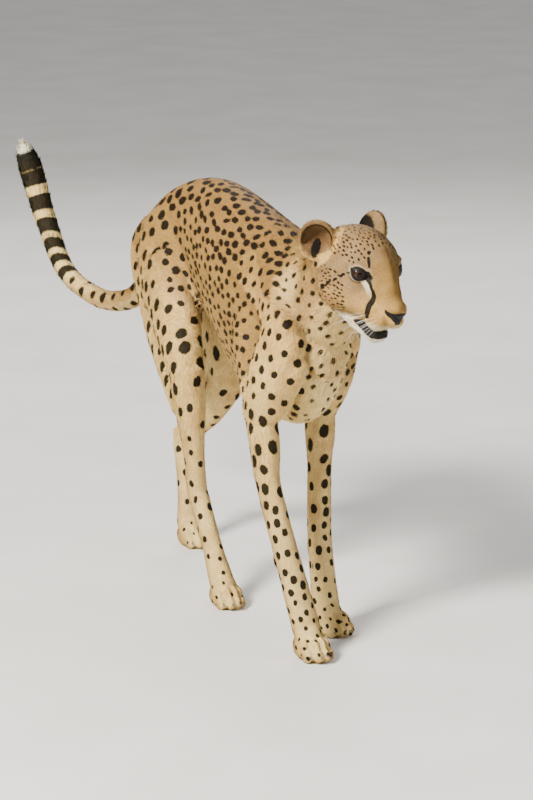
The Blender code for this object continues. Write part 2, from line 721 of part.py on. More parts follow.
def build_foreleg(flesh, sign, side):
    """Upper arm, forearm, fore paw and claws of one side."""
    leg = FORELEGS[side]
    wrist = across_joint(leg["mid"], leg["wrist"], leg["ball"])
    arm = slice_out(flesh, "upper_arm_" + side, arm_planes(sign) + [CHEST_FLOOR, midline(sign)],
                    leg["shoulder"] + Vector((sign * 0.05, 0, 0)))
    forearm = slice_out(flesh, "forearm_" + side, [apart(CHEST_FLOOR), midline(sign), wrist],
                        leg["mid"])
    foot, claws = build_foot_flesh(leg, leg["wrist"].z + 0.05, add_foreleg, sign, FORE_PAW)
    paw = slice_out(foot, "forepaw_" + side, [apart(wrist), midline(sign), SOLE], leg["ball"])
    bpy.data.objects.remove(foot, do_unlink=True)
    inner = Vector((-sign, 0, 0))
    dew = leg["wrist"].lerp(leg["ball"], 0.30) + inner * 0.0200 + Vector((0, -0.004, 0))
    claws = claws + [(dew, (inner * 0.5 + Vector((0, -0.75, -0.43))).normalized())]
    return [arm, forearm, paw] + build_claws(paw, claws, "fore_" + side)


def build_hindleg(flesh, sign, side):
    """Thigh, shank, metatarsus, hind paw and claws of one side."""
    leg = HINDLEGS[side]
    knee = across_joint(leg["hip"], leg["knee"], leg["hock"])
    hock = across_joint(leg["knee"], leg["hock"], leg["ball"])
    ankle = across_bone(leg["hock"], leg["ball"], 0.76)
    thigh = slice_out(flesh, "thigh_" + side, haunch_planes(sign, FLANKS[sign]) + [knee],
                      leg["hip"] + Vector((sign * 0.05, 0, 0)))
    shank = slice_out(flesh, "shank_" + side, [apart(knee), hock, midline(sign)],
                      leg["knee"].lerp(leg["hock"], 0.5))
    metatarsus = slice_out(flesh, "metatarsus_" + side, [apart(hock), ankle, midline(sign)],
                           leg["hock"].lerp(leg["ball"], 0.5))
    foot, claws = build_foot_flesh(leg, leg["ball"].z + 0.09, add_hindleg, sign, HIND_PAW)
    paw = slice_out(foot, "hindpaw_" + side, [apart(ankle), midline(sign), SOLE], leg["ball"])
    bpy.data.objects.remove(foot, do_unlink=True)
    return [thigh, shank, metatarsus, paw] + build_claws(paw, claws, "hind_" + side)


def build_trunk(flesh):
    """The trunk: body flesh less legs, neck and tail."""
    trunk = bpy.data.objects.new("trunk", flesh.data.copy())
    bpy.context.scene.collection.objects.link(trunk)
    cutters = [wedge(arm_planes(sign)) for sign, _ in SIDES]
    cutters += [wedge(haunch_planes(sign, FLANKS[sign])) for sign, _ in SIDES]
    cut_away(trunk, cutters)
    middle = Vector((0, 0.05, 0.78))
    made = slice_out(trunk, "trunk_cut", [apart(NECK_BASE), CHEST_FLOOR, tail_cut(1)], middle)
    bpy.data.objects.remove(trunk, do_unlink=True)
    made.name = "trunk"
    tidy_solid(made, middle)
    return made


def build_tail(flesh):
    """The tail in lengths."""
    made = []
    for number, (first, last) in enumerate(zip(TAIL_CUTS, TAIL_CUTS[1:] + (None,)), 1):
        planes = [apart(tail_cut(first)), UNDER_TAIL]
        if last is not None:
            planes.append(tail_cut(last))
        seed = TAIL_PATH[first].lerp(TAIL_PATH[first + 1], 0.75)
        made.append(slice_out(flesh, f"tail_{number}", planes, seed))
    return made


def centre_on_ground(things):
    """Shift everything so that the origin is the bottom centre of the bounding box."""
    points = [vert.co for thing in things for vert in thing.data.vertices]
    low = Vector([min(p[i] for p in points) for i in range(3)])
    high = Vector([max(p[i] for p in points) for i in range(3)])
    shift = Vector(((low.x + high.x) / 2, (low.y + high.y) / 2, low.z))
    for thing in things:
        thing.data.transform(Matrix.Translation(-shift))
    return shift


def finish_for(name):
    """Colour and roughness of a named piece."""
    for stem, finish in FINISHES.items():
        if name.startswith(stem):
            return finish
    return COAT, 0.85


def main():
    """Build every piece of the model."""
    clear_scene()
    body = build_body_flesh()
    flesh = thin(body, "flesh", BODY_TRIANGLES)
    skull_flesh = build_head_flesh()
    skull = thin(skull_flesh, "skull", HEAD_TRIANGLES)
    neck = slice_out(flesh, "neck", [NECK_BASE, apart(NAPE)], Vector((0.0, -0.280, 0.760)))
    pieces = [build_trunk(flesh), neck] + build_head(skull, neck)
    for sign, side in SIDES:
        pieces += build_foreleg(flesh, sign, side)
        pieces += build_hindleg(flesh, sign, side)
    pieces += build_tail(flesh)
    for spare in (body, flesh, skull_flesh, skull):
        bpy.data.objects.remove(spare, do_unlink=True)
    centre_on_ground(pieces)
    for thing in pieces:
        dress(thing, *finish_for(thing.name))


if __name__ == "__main__":
    main()
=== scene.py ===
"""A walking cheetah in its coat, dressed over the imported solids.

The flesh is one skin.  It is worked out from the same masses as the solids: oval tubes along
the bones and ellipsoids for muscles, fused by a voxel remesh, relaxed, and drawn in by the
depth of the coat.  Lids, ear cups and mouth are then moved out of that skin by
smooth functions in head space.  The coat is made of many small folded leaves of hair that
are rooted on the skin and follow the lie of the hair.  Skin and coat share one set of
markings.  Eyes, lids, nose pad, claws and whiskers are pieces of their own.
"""

import itertools
import logging
import math
from dataclasses import dataclass, field
from enum import Enum
from typing import Any, Callable, Optional, Sequence

import bmesh
import bpy
import numpy as np
from mathutils import Matrix, Vector

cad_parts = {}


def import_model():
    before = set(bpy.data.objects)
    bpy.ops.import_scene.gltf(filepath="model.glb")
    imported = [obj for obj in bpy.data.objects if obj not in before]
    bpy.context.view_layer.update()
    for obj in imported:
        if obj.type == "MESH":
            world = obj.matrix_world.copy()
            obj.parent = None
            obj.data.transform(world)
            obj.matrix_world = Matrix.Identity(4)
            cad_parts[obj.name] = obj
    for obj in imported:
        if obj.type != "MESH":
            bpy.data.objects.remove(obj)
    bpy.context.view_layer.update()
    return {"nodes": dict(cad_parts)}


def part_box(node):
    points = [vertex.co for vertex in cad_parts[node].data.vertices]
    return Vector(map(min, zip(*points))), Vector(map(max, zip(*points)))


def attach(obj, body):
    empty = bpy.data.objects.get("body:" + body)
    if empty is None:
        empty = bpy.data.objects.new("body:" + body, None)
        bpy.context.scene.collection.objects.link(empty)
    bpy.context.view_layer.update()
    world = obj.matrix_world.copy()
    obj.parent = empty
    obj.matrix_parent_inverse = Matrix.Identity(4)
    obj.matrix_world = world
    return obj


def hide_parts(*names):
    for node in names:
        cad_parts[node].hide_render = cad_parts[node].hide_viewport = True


log = logging.getLogger("cheetah")
Array = np.ndarray
Thing = bpy.types.Object
Material = bpy.types.Material
SEED = 7


# ---- small maths on arrays
def vec(*xyz: float) -> Array:
    """A point or direction."""
    return np.array(xyz, float)


def held(value: Array) -> Any:
    """A dataclass field whose default is an array."""
    return field(default_factory=lambda: value)


def circle(count: int) -> Array:
    """Angles of even steps around a circle."""
    return np.linspace(0, 2 * math.pi, count, endpoint=False)


def between(a: Array, b: Array, share: float) -> Array:
    """The place at a share of the way from a to b."""
    return a + (b - a) * share


def unit(v: Array) -> Array:
    """Rows of v scaled to length one."""
    return v / np.maximum(np.linalg.norm(v, axis=-1, keepdims=True), 1e-12)


def norm(v: Array) -> Array:
    """Length of each row."""
    return np.sqrt(np.sum(v * v, axis=1))


def laid(directions: Array, normals: Array) -> Array:
    """Directions without their part along the normals."""
    return directions - normals * np.sum(directions * normals, 1, keepdims=True)


def ease(low: float, high: float, x: Array) -> Array:
    """0 below low, 1 above high, and 3t^2 - 2t^3 between them."""
    t = np.clip((np.asarray(x, float) - low) / (high - low), 0.0, 1.0)
    return t * t * (3.0 - 2.0 * t)


def bell(x: Array, width: float) -> Array:
    """Gaussian bump: 1 at x = 0 and e^-1 at x = width."""
    return np.exp(-((x / width) ** 2))


def blend(a: Array, b: Array, share: Array) -> Array:
    """a where share is 0 and b where it is 1; share has one value for each row."""
    share = np.asarray(share)[..., None]
    return a * (1.0 - share) + b * share


def linear(*colour: int) -> Array:
    """A display colour of 0..255 values as linear light."""
    c = np.array(colour) / 255.0
    return np.where(c <= 0.04045, c / 12.92, ((c + 0.055) / 1.055) ** 2.4)


def rotation(axis: str, angle: float) -> Array:
    """3x3 turn about a named axis by an angle in radians."""
    return np.array(Matrix.Rotation(angle, 3, axis))


def catmull(keys: Array, steps: int) -> Array:
    """Points of a Catmull-Rom curve through keys, steps per span.

    Args:
        keys: one row for each key.
        steps: points made for each span between keys.

    Returns:
        (len(keys) - 1) * steps + 1 rows.
    """
    last = len(keys) - 1
    t = np.linspace(0, last, last * steps + 1)
    i = np.minimum(t.astype(int), last - 1)
    u = (t - i)[:, None]
    p0, p1, p2, p3 = (keys[np.clip(i + k, 0, last)] for k in (-1, 0, 1, 2))
    return 0.5 * (2 * p1 + (p2 - p0) * u + (2 * p0 - 5 * p1 + 4 * p2 - p3) * u ** 2
                  + (3 * p1 - p0 - 3 * p2 + p3) * u ** 3)


def along_span(points: Array, start: Array, end: Array) -> tuple[Array, Array]:
    """Distance from points to a straight span, and the share along it at the nearest place."""
    span = end - start
    t = np.clip(((points - start) @ span) / (span @ span), 0, 1)
    return norm(points - (start + t[:, None] * span)), t


def along_polyline(points: Array, path: Array) -> tuple[Array, Array]:
    """Nearest place on a polyline for each point.

    Args:
        points: n rows.
        path: the polyline's corners.

    Returns:
        Distance to the path, and the length along it at the nearest place.
    """
    best = np.full(len(points), np.inf)
    place = np.zeros(len(points))
    start = 0.0
    for a, b in zip(path, path[1:]):
        length = float(np.linalg.norm(b - a))
        distance, t = along_span(points, a, b)
        nearer = distance < best
        best = np.where(nearer, distance, best)
        place = np.where(nearer, start + t * length, place)
        start += length
    return best, place


# ---- surfaces and meshes
@dataclass
class Surface:
    """Points with quads and triangles that index them."""

    points: Array
    quads: Array = field(default_factory=lambda: np.zeros((0, 4), int))
    tris: Array = field(default_factory=lambda: np.zeros((0, 3), int))


def join(surfaces: Sequence[Surface]) -> Surface:
    """Several surfaces as one, with their indices shifted."""
    starts = np.cumsum([0] + [len(s.points) for s in surfaces])
    return Surface(np.concatenate([s.points for s in surfaces]),
                   np.concatenate([s.quads + start for s, start in zip(surfaces, starts)]),
                   np.concatenate([s.tris + start for s, start in zip(surfaces, starts)]))


def rings_surface(rings: Array, start: Array, end: Array) -> Surface:
    """Closed surface of rings (n, sides, 3) with a fan to a tip at each end."""
    count, sides, _ = rings.shape
    index = np.arange(count * sides).reshape(count, sides)
    turned = np.roll(index, -1, axis=1)
    quads = np.stack([index[:-1], turned[:-1], turned[1:], index[1:]], -1).reshape(-1, 4)
    first, last = count * sides, count * sides + 1
    fan_a = np.stack([turned[0], index[0], np.full(sides, first)], -1)
    fan_b = np.stack([index[-1], turned[-1], np.full(sides, last)], -1)
    points = np.concatenate([rings.reshape(-1, 3), start[None], end[None]])
    return Surface(points, quads, np.concatenate([fan_a, fan_b]))


CAP_SHARES = np.array([0.35, 0.65, 0.87])


def tube(stations: Sequence[tuple], side: Sequence[float] = (1, 0, 0), upright: bool = False,
         sides: int = 20, steps: int = 5, egg: float = 0.0, round_start: float = 0.6,
         round_end: float = 0.6) -> Surface:
    """Oval tube through stations, with domed ends.

    A ring point is centre + across * a * cos(t) * (1 + egg * sin(t)) + along * b * sin(t), where
    a and b follow the stations on a Catmull-Rom curve.  Each dome is three shrinking rings on a
    quarter ellipse and a tip.

    Args:
        stations: (point, half width, half depth) for each station.
        side: direction that the first oval axis keeps closest to.
        upright: rings stay square to Y.
        sides: points in a ring.
        steps: rings made for each span.
        egg: how far the widest level moves along the second axis.
        round_start: length of the first dome as a share of the smaller half size.
        round_end: the same for the last dome.

    Returns:
        The closed surface.
    """
    keys = np.array([[*s[0], s[1], s[2]] for s in stations], float)
    path = catmull(keys, steps)
    centre, size = path[:, :3], path[:, 3:]
    after = np.vstack([centre[1:], centre[-1:]])
    before = np.vstack([centre[:1], centre[:-1]])
    ahead = unit(after - before)
    if upright:
        ahead = np.sign(ahead[:, 1:2]) * np.array([[0.0, 1.0, 0.0]])
    along = unit(np.cross(ahead, np.array(side, float)))
    across = unit(np.cross(along, ahead))
    reach = [min(size[0]) * round_start, min(size[-1]) * round_end]
    shares = CAP_SHARES[:, None]
    dome = np.sqrt(1 - shares ** 2)
    centres = np.vstack([centre[0] - ahead[0] * reach[0] * dome, centre,
                         (centre[-1] + ahead[-1] * reach[1] * dome)[::-1]])
    sizes = np.vstack([size[0] * shares, size, (size[-1] * shares)[::-1]])
    across, along = (np.vstack([v[:1]] * 3 + [v] + [v[-1:]] * 3)[:, None] for v in (across, along))
    cos, sin = np.cos(circle(sides)), np.sin(circle(sides))
    rings = (centres[:, None] + across * (sizes[:, :1] * cos * (1 + egg * sin))[..., None]
             + along * (sizes[:, 1:] * sin)[..., None])
    return rings_surface(rings, centre[0] - ahead[0] * reach[0], centre[-1] + ahead[-1] * reach[1])


def ellipsoid(centre: Sequence[float], radii: Sequence[float], basis: Optional[Array] = None,
              around: int = 24, levels: int = 14) -> Surface:
    """Ellipsoid whose columns of basis are its axes; points are radii times a unit sphere."""
    basis = np.eye(3) if basis is None else basis
    t = circle(around)
    p = np.linspace(0, math.pi, levels + 1)[1:-1]
    sphere = np.stack([np.sin(p)[:, None] * np.cos(t), np.sin(p)[:, None] * np.sin(t),
                       np.repeat(np.cos(p)[:, None], around, 1)], -1)
    poles = np.array([[0, 0, 1.0], [0, 0, -1.0]])
    place = lambda v: np.asarray(centre) + (v * np.asarray(radii)) @ basis.T
    return rings_surface(place(sphere), place(poles[0]), place(poles[1]))


def linked(name: str, data: Any) -> Thing:
    """A new object in the scene."""
    thing = bpy.data.objects.new(name, data)
    bpy.context.scene.collection.objects.link(thing)
    return thing


def make_object(name: str, surface: Surface, smooth: bool = True) -> Thing:
    """A linked object from a surface, filled through foreach_set.

    Args:
        name: the object's name.
        surface: its points and faces.
        smooth: whether its faces shade smoothly.

    Returns:
        The object, at the origin.
    """
    mesh = bpy.data.meshes.new(name)
    quads, tris = surface.quads, surface.tris
    loops = np.concatenate([quads.ravel(), tris.ravel()])
    sizes = np.concatenate([np.full(len(quads), 4), np.full(len(tris), 3)])
    mesh.vertices.add(len(surface.points))
    mesh.vertices.foreach_set("co", surface.points.astype(np.float32).ravel())
    mesh.loops.add(len(loops))
    mesh.loops.foreach_set("vertex_index", loops.astype(np.int32))
    mesh.polygons.add(len(sizes))
    starts = np.concatenate([[0], np.cumsum(sizes)[:-1]])
    mesh.polygons.foreach_set("loop_start", starts.astype(np.int32))
    mesh.polygons.foreach_set("use_smooth", np.full(len(sizes), smooth))
    mesh.update(calc_edges=True)
    mesh.validate()
    return linked(name, mesh)


def set_values(mesh: bpy.types.Mesh, name: str, values: Array) -> None:
    """Store a number, or a colour with three values, for each vertex."""
    kind, key = ("FLOAT", "value") if values.ndim == 1 else ("FLOAT_COLOR", "color")
    if values.ndim == 2:
        values = np.concatenate([values, np.ones((len(values), 1))], 1)
    mesh.attributes.new(name, kind, "POINT").data.foreach_set(key, values.astype(np.float32).ravel())


def read(items: Any, name: str = "co", width: int = 3, kind: type = float) -> Array:
    """One row of numbers for each item of a mesh, such as its vertices' positions."""
    flat = np.empty(len(items) * width, np.float32 if kind is float else np.int32)
    items.foreach_get(name, flat)
    return flat.reshape(-1, width).astype(kind)


def write_points(mesh: bpy.types.Mesh, points: Array) -> None:
    """Move the vertices."""
    mesh.vertices.foreach_set("co", points.astype(np.float32).ravel())
    mesh.update()


def modify(thing: Thing, kind: str, **settings: Any) -> None:
    """Replace an object's mesh by what a modifier with these settings makes of it."""
    modifier = thing.modifiers.new(kind.lower(), kind)
    for key, value in settings.items():
        setattr(modifier, key, value)
    graph = bpy.context.evaluated_depsgraph_get()
    graph.update()
    made = bpy.data.meshes.new_from_object(thing.evaluated_get(graph))
    old = thing.data
    thing.modifiers.clear()
    thing.data = made
    bpy.data.meshes.remove(old)


class Web:
    """Neighbours along a mesh's edges."""

    def __init__(self, mesh: bpy.types.Mesh) -> None:
        """Read the edges both ways."""
        edges = read(mesh.edges, "vertices", 2, int)
        self.here = np.concatenate([edges[:, 0], edges[:, 1]])
        self.there = np.concatenate([edges[:, 1], edges[:, 0]])
        self.size = len(mesh.vertices)
        self.count = np.maximum(np.bincount(self.here, minlength=self.size), 1)[:, None]

    def mean(self, values: Array) -> Array:
        """Mean of the neighbours' rows."""
        return np.stack([np.bincount(self.here, weights=column[self.there], minlength=self.size)
                         for column in values.T], 1) / self.count

    def relax(self, points: Array, weight: Array, rounds: int) -> Array:
        """Round off creases without losing volume.

        Each round moves every point six times by 0.5 of the way to the mean of its neighbours
        and then six times back by 0.502 of it, scaled by the point's weight.

        Args:
            points: positions.
            weight: 0 holds a point, 1 moves it fully.
            rounds: how many times this is done.

        Returns:
            New positions.
        """
        out = points.copy()
        for step in ([0.5] * 6 + [-0.502] * 6) * rounds:
            out += (self.mean(out) - out) * (weight * step)[:, None]
        return out

    def soften(self, values: Array, times: int) -> Array:
        """Spread numbers or rows of numbers over the mesh by averaging with neighbours."""
        out = values.reshape(len(values), -1).astype(float)
        for _ in range(times):
            out = 0.4 * out + 0.6 * self.mean(out)
        return out.reshape(values.shape)




# ---- the animal's build
class Side(Enum):
    """Left and right of the animal; the value is the sign of X."""

    RIGHT = -1
    LEFT = 1


class Region(Enum):
    """Parts of the coat, one piece each."""

    HEAD = "head"
    NECK = "neck"
    TRUNK_RIGHT = "trunk_right"
    TRUNK_LEFT = "trunk_left"
    FORELEG_RIGHT = "foreleg_right"
    FORELEG_LEFT = "foreleg_left"
    HINDLEG_RIGHT = "hindleg_right"
    HINDLEG_LEFT = "hindleg_left"
    TAIL = "tail"


FORE = (Region.FORELEG_RIGHT, Region.FORELEG_LEFT)
HIND = (Region.HINDLEG_RIGHT, Region.HINDLEG_LEFT)
TRUNK = (Region.TRUNK_RIGHT, Region.TRUNK_LEFT)


@dataclass(frozen=True)
class Foreleg:
    """Joints of a foreleg from the shoulder blade to the ball of the foot."""

    blade: Array
    shoulder: Array
    elbow: Array
    mid: Array
    wrist: Array
    ball: Array
    heading: float


@dataclass(frozen=True)
class Hindleg:
    """Joints of a hind leg from the hip to the ball of the foot."""

    hip: Array
    seat: Array
    knee: Array
    hock: Array
    ball: Array
    heading: float


FORELEGS = {
    Side.RIGHT: Foreleg(vec(-0.036, -0.105, 0.690), vec(-0.070, -0.268, 0.580), vec(-0.092, -0.205, 0.430),
                        vec(-0.092, -0.240, 0.300), vec(-0.078, -0.285, 0.185), vec(-0.055, -0.335, 0.036),
                        math.radians(4)),
    Side.LEFT: Foreleg(vec(0.036, -0.080, 0.690), vec(0.056, -0.225, 0.570), vec(0.060, -0.130, 0.425),
                       vec(0.051, -0.146, 0.300), vec(0.042, -0.168, 0.170), vec(0.043, -0.203, 0.034),
                       math.radians(14)),
}
HINDLEGS = {
    Side.RIGHT: Hindleg(vec(-0.064, 0.330, 0.625), vec(-0.050, 0.432, 0.615), vec(-0.096, 0.145, 0.450),
                        vec(-0.068, 0.160, 0.200), vec(-0.060, 0.050, 0.032), math.radians(2)),
    Side.LEFT: Hindleg(vec(0.064, 0.330, 0.625), vec(0.048, 0.432, 0.605), vec(0.072, 0.345, 0.370),
                       vec(0.058, 0.545, 0.200), vec(0.055, 0.500, 0.032), math.radians(8)),
}
TAIL_PATH = np.array([
    (0.000, 0.385, 0.690), (0.000, 0.455, 0.630), (-0.012, 0.530, 0.555), (-0.034, 0.600, 0.500),
    (-0.062, 0.705, 0.487), (-0.087, 0.830, 0.524), (-0.098, 0.920, 0.618), (-0.114, 0.960, 0.715),
    (-0.1245, 0.957, 0.745)])
TAIL_SIZES = (0.046, 0.031, 0.0235, 0.0220, 0.0205, 0.0195, 0.0210, 0.0235, 0.0205)
FORE_PAW = (0.060, 0.096, 0.044)
HIND_PAW = (0.057, 0.092, 0.042)


@dataclass(frozen=True)
class HeadSpace:
    """Head axes: x forward along the nose, y to the animal's left, z to the crown.

    The origin lies midway between the eyes.
    """

    origin: Array = held(vec(0.026, -0.450, 0.711))
    turn: float = math.radians(12.5)
    nod: float = math.radians(15.0)
    tilt: float = math.radians(-1.5)
    scale: float = 1.02
    eye: Array = held(vec(-0.0115, 0.0370, 0.0020))
    eye_radius: float = 0.0160

    @property
    def basis(self) -> Array:
        """3x3 turn from head space to the body's axes."""
        return (rotation("Z", self.turn - math.pi / 2) @ rotation("Y", self.nod)
                @ rotation("X", self.tilt))

    def out(self, points: Array) -> Array:
        """Head space to body space."""
        return self.origin + (np.asarray(points) * self.scale) @ self.basis.T

    def into(self, points: Array) -> Array:
        """Body space to head space."""
        return ((points - self.origin) @ self.basis) / self.scale

    def turned_out(self, directions: Array) -> Array:
        """Directions from head space to body space."""
        return np.asarray(directions) @ self.basis.T


HEAD = HeadSpace()


@dataclass(frozen=True)
class EarSpace:
    """One ear's axes: x across the cup, y out of its opening, z to its tip."""

    side: Side
    radii: Array = held(vec(0.0340, 0.0170, 0.0380))
    centre: Array = held(vec(0, -0.002, 0.009))
    hollow_radii: Array = held(vec(0.0295, 0.0200, 0.0325))
    hollow_centre: Array = held(vec(0, 0.0070, 0.009))

    @property
    def bearing(self) -> float:
        """Way the opening faces: the right ear listens ahead, the left one is turned aside."""
        return math.radians(48 if self.side is Side.RIGHT else 92)

    @property
    def base(self) -> Array:
        """Root of the ear in head space."""
        return vec(-0.107, self.side.value * 0.058, 0.014 if self.side is Side.RIGHT else 0.021)

    @property
    def axes(self) -> Array:
        """3x3 whose columns are the ear's axes in head space."""
        sign = self.side.value
        tip = unit(vec(-0.10, sign * 0.14, 0.97))
        opening = vec(math.cos(self.bearing), sign * math.sin(self.bearing), 0.05)
        opening = unit(opening - tip * (opening @ tip))
        return np.stack([np.cross(opening, tip), opening, tip], 1)

    def into(self, head_points: Array) -> Array:
        """Head space to the ear's space."""
        return (head_points - self.base) @ self.axes

    def out(self, points: Array) -> Array:
        """The ear's space to head space."""
        return self.base + np.asarray(points) @ self.axes.T


EARS = {side: EarSpace(side) for side in Side}


def ear_gap(head: Array, height: float = 0.014) -> Array:
    """Distance from head-space points to the nearest ear's axis at a height above its root."""
    return np.minimum.reduce([norm(ear.into(head) - vec(0, 0, height)) for ear in EARS.values()])


def paw_axes(heading: float) -> tuple[Array, Array]:
    """Directions ahead of and across a paw that points along a heading."""
    return (vec(math.sin(heading), -math.cos(heading), 0), vec(math.cos(heading), math.sin(heading), 0))


@dataclass
class Masses:
    """The flesh as overlapping closed forms, in body space."""

    surfaces: list[Surface] = field(default_factory=list)

    def add(self, surface: Surface) -> None:
        """Take in one more form."""
        self.surfaces.append(surface)

    def trunk(self) -> None:
        """Rib cage, loin and rump as one egg-section tube along the spine."""
        rows = (  # y, back line, belly line, half width
            (-0.290, 0.655, 0.490, 0.046), (-0.240, 0.700, 0.424, 0.070), (-0.170, 0.735, 0.392, 0.085),
            (-0.080, 0.753, 0.394, 0.092), (0.010, 0.770, 0.424, 0.092), (0.090, 0.785, 0.468, 0.086),
            (0.170, 0.795, 0.515, 0.078), (0.240, 0.793, 0.550, 0.074), (0.310, 0.781, 0.570, 0.080),
            (0.375, 0.755, 0.580, 0.080), (0.430, 0.708, 0.595, 0.062))
        stations = [((0, y, (top + low) / 2), half, (top - low) / 2) for y, top, low, half in rows]
        self.add(tube(stations, upright=True, sides=28, egg=-0.10, round_start=0.8, round_end=0.9))

    def neck(self) -> None:
        """Neck from between the shoulders to inside the skull."""
        self.add(tube([((0, -0.130, 0.610), 0.072, 0.128), ((0.000, -0.215, 0.625), 0.072, 0.112),
                       ((0.004, -0.295, 0.655), 0.066, 0.092),
                       (HEAD.out(vec(-0.080, 0, -0.026)), 0.060, 0.072),
                       (HEAD.out(vec(-0.030, 0, -0.024)), 0.044, 0.052)],
                      sides=24, round_start=0.3, round_end=0.5))

    def foreleg(self, leg: Foreleg, sign: int) -> None:
        """Shoulder blade, upper arm, triceps, forearm and pastern of one foreleg."""
        blade, shoulder, elbow, mid = leg.blade, leg.shoulder, leg.elbow, leg.mid
        self.add(tube([(blade, 0.020, 0.055), (between(blade, shoulder, 0.55), 0.034, 0.062),
                       (shoulder, 0.036, 0.054)], round_start=1.5, round_end=1.0))
        self.add(tube([(shoulder + vec(0, 0.005, 0), 0.037, 0.058),
                       (between(shoulder, elbow, 0.55), 0.039, 0.062),
                       (elbow, 0.033, 0.047)], round_start=1.0, round_end=1.0))
        rear = between(blade, elbow, 0.45) + vec(sign * 0.020, 0.030, -0.010)
        self.add(tube([(rear, 0.028, 0.048), (elbow + vec(0, 0.014, 0.020), 0.027, 0.038)],
                      round_start=1.4, round_end=1.2))
        self.add(tube([(between(shoulder, elbow, 0.35) + vec(-sign * 0.014, -0.026, 0), 0.030, 0.046),
                       (elbow + vec(-sign * 0.012, -0.036, 0.022), 0.026, 0.036)],
                      round_start=1.2, round_end=1.3))
        self.add(tube([(elbow + vec(0, 0.004, 0.010), 0.029, 0.042),
                       (between(elbow, mid, 0.5), 0.0265, 0.0360),
                       (mid, 0.0225, 0.0280), (leg.wrist, 0.0230, 0.0235),
                       (leg.ball + vec(0, 0.008, 0.012), 0.0265, 0.0220)]))
        self.add(ellipsoid(leg.wrist + vec(0, 0.005, -0.012), (0.0215, 0.0230, 0.0240)))

    def hindleg(self, leg: Hindleg, sign: int) -> None:
        """Haunch, hamstrings, shank, hock and hind pastern of one hind leg."""
        hip, knee, hock, seat, ball = leg.hip, leg.knee, leg.hock, leg.seat, leg.ball
        self.add(tube([(hip + vec(-sign * 0.012, -0.030, 0.050), 0.040, 0.080), (hip, 0.046, 0.100),
                       (between(hip, knee, 0.5), 0.043, 0.080), (knee, 0.034, 0.044)], round_start=1.2))
        calf = between(knee, hock, 0.32) + vec(0, 0.022, 0)
        self.add(tube([(seat + vec(0, -0.030, 0.045), 0.036, 0.050), (seat, 0.043, 0.054),
                       (between(seat, calf, 0.5) + vec(0, 0.006, 0), 0.039, 0.064), (calf, 0.027, 0.038)],
                      round_start=1.2))
        self.add(ellipsoid(knee, (0.033, 0.036, 0.042)))
        self.add(tube([(knee, 0.033, 0.045), (between(knee, hock, 0.35), 0.028, 0.044),
                       (between(knee, hock, 0.72), 0.0195, 0.027), (hock, 0.0190, 0.024)]))
        heel = unit(hock - ball) * 0.018 + vec(0, 0.014, 0.004)
        self.add(tube([(between(hock, knee, 0.16) + vec(0, 0.020, 0), 0.010, 0.012),
                       (hock + heel, 0.0145, 0.015)], round_end=0.9))
        self.add(tube([(hock + heel * 0.7, 0.0165, 0.0185), (hock, 0.0190, 0.0240),
                       (between(hock, ball, 0.5), 0.0190, 0.0195),
                       (ball + vec(0, 0.008, 0.010), 0.0245, 0.0200)]))

    def paw(self, ball: Array, heading: float, size: tuple[float, float, float]) -> None:
        """Sole pad, knuckles and four toes of one foot."""
        width, length, height = size
        ahead, across = paw_axes(heading)
        basis = np.stack([across, -ahead, vec(0, 0, 1)], 1)
        floor = vec(ball[0], ball[1], 0)
        up = vec(0, 0, 1)
        self.add(ellipsoid(floor + up * height * 0.52 + ahead * 0.003,
                           (width * 0.46, length * 0.39, height * 0.56), basis))
        self.add(ellipsoid(floor + up * height * 0.84, (width * 0.43, width * 0.46, height * 0.62), basis))
        for place in (-1.5, -0.5, 0.5, 1.5):
            forward, rise = (0.30, 0.004) if abs(place) < 1 else (0.16, 0.0)
            toe = floor + across * (place * width * 0.245) + ahead * (length * forward)
            knuckle = toe + up * (height * 0.50 + rise) - ahead * 0.004
            self.add(ellipsoid(knuckle, (width * 0.140, length * 0.27, height * 0.44), basis))
            tip = toe + ahead * (length * 0.20) + up * (height * 0.27 + rise * 0.5)
            self.add(ellipsoid(tip, (width * 0.128, length * 0.145, height * 0.31), basis))

    def tail(self) -> None:
        """Tail: tapering to the middle, then thickening into the tufted end."""
        self.add(tube([(p, r, r) for p, r in zip(TAIL_PATH, TAIL_SIZES)], sides=18, steps=6,
                      round_start=0.3, round_end=1.5))

    def head(self) -> None:
        """Skull, face, muzzle and jaw."""
        side = HEAD.basis[:, 1]

        def lump(centre: tuple, radii: tuple) -> None:
            """One ellipsoid in head space."""
            self.add(ellipsoid(HEAD.out(centre), np.array(radii) * HEAD.scale, HEAD.basis))

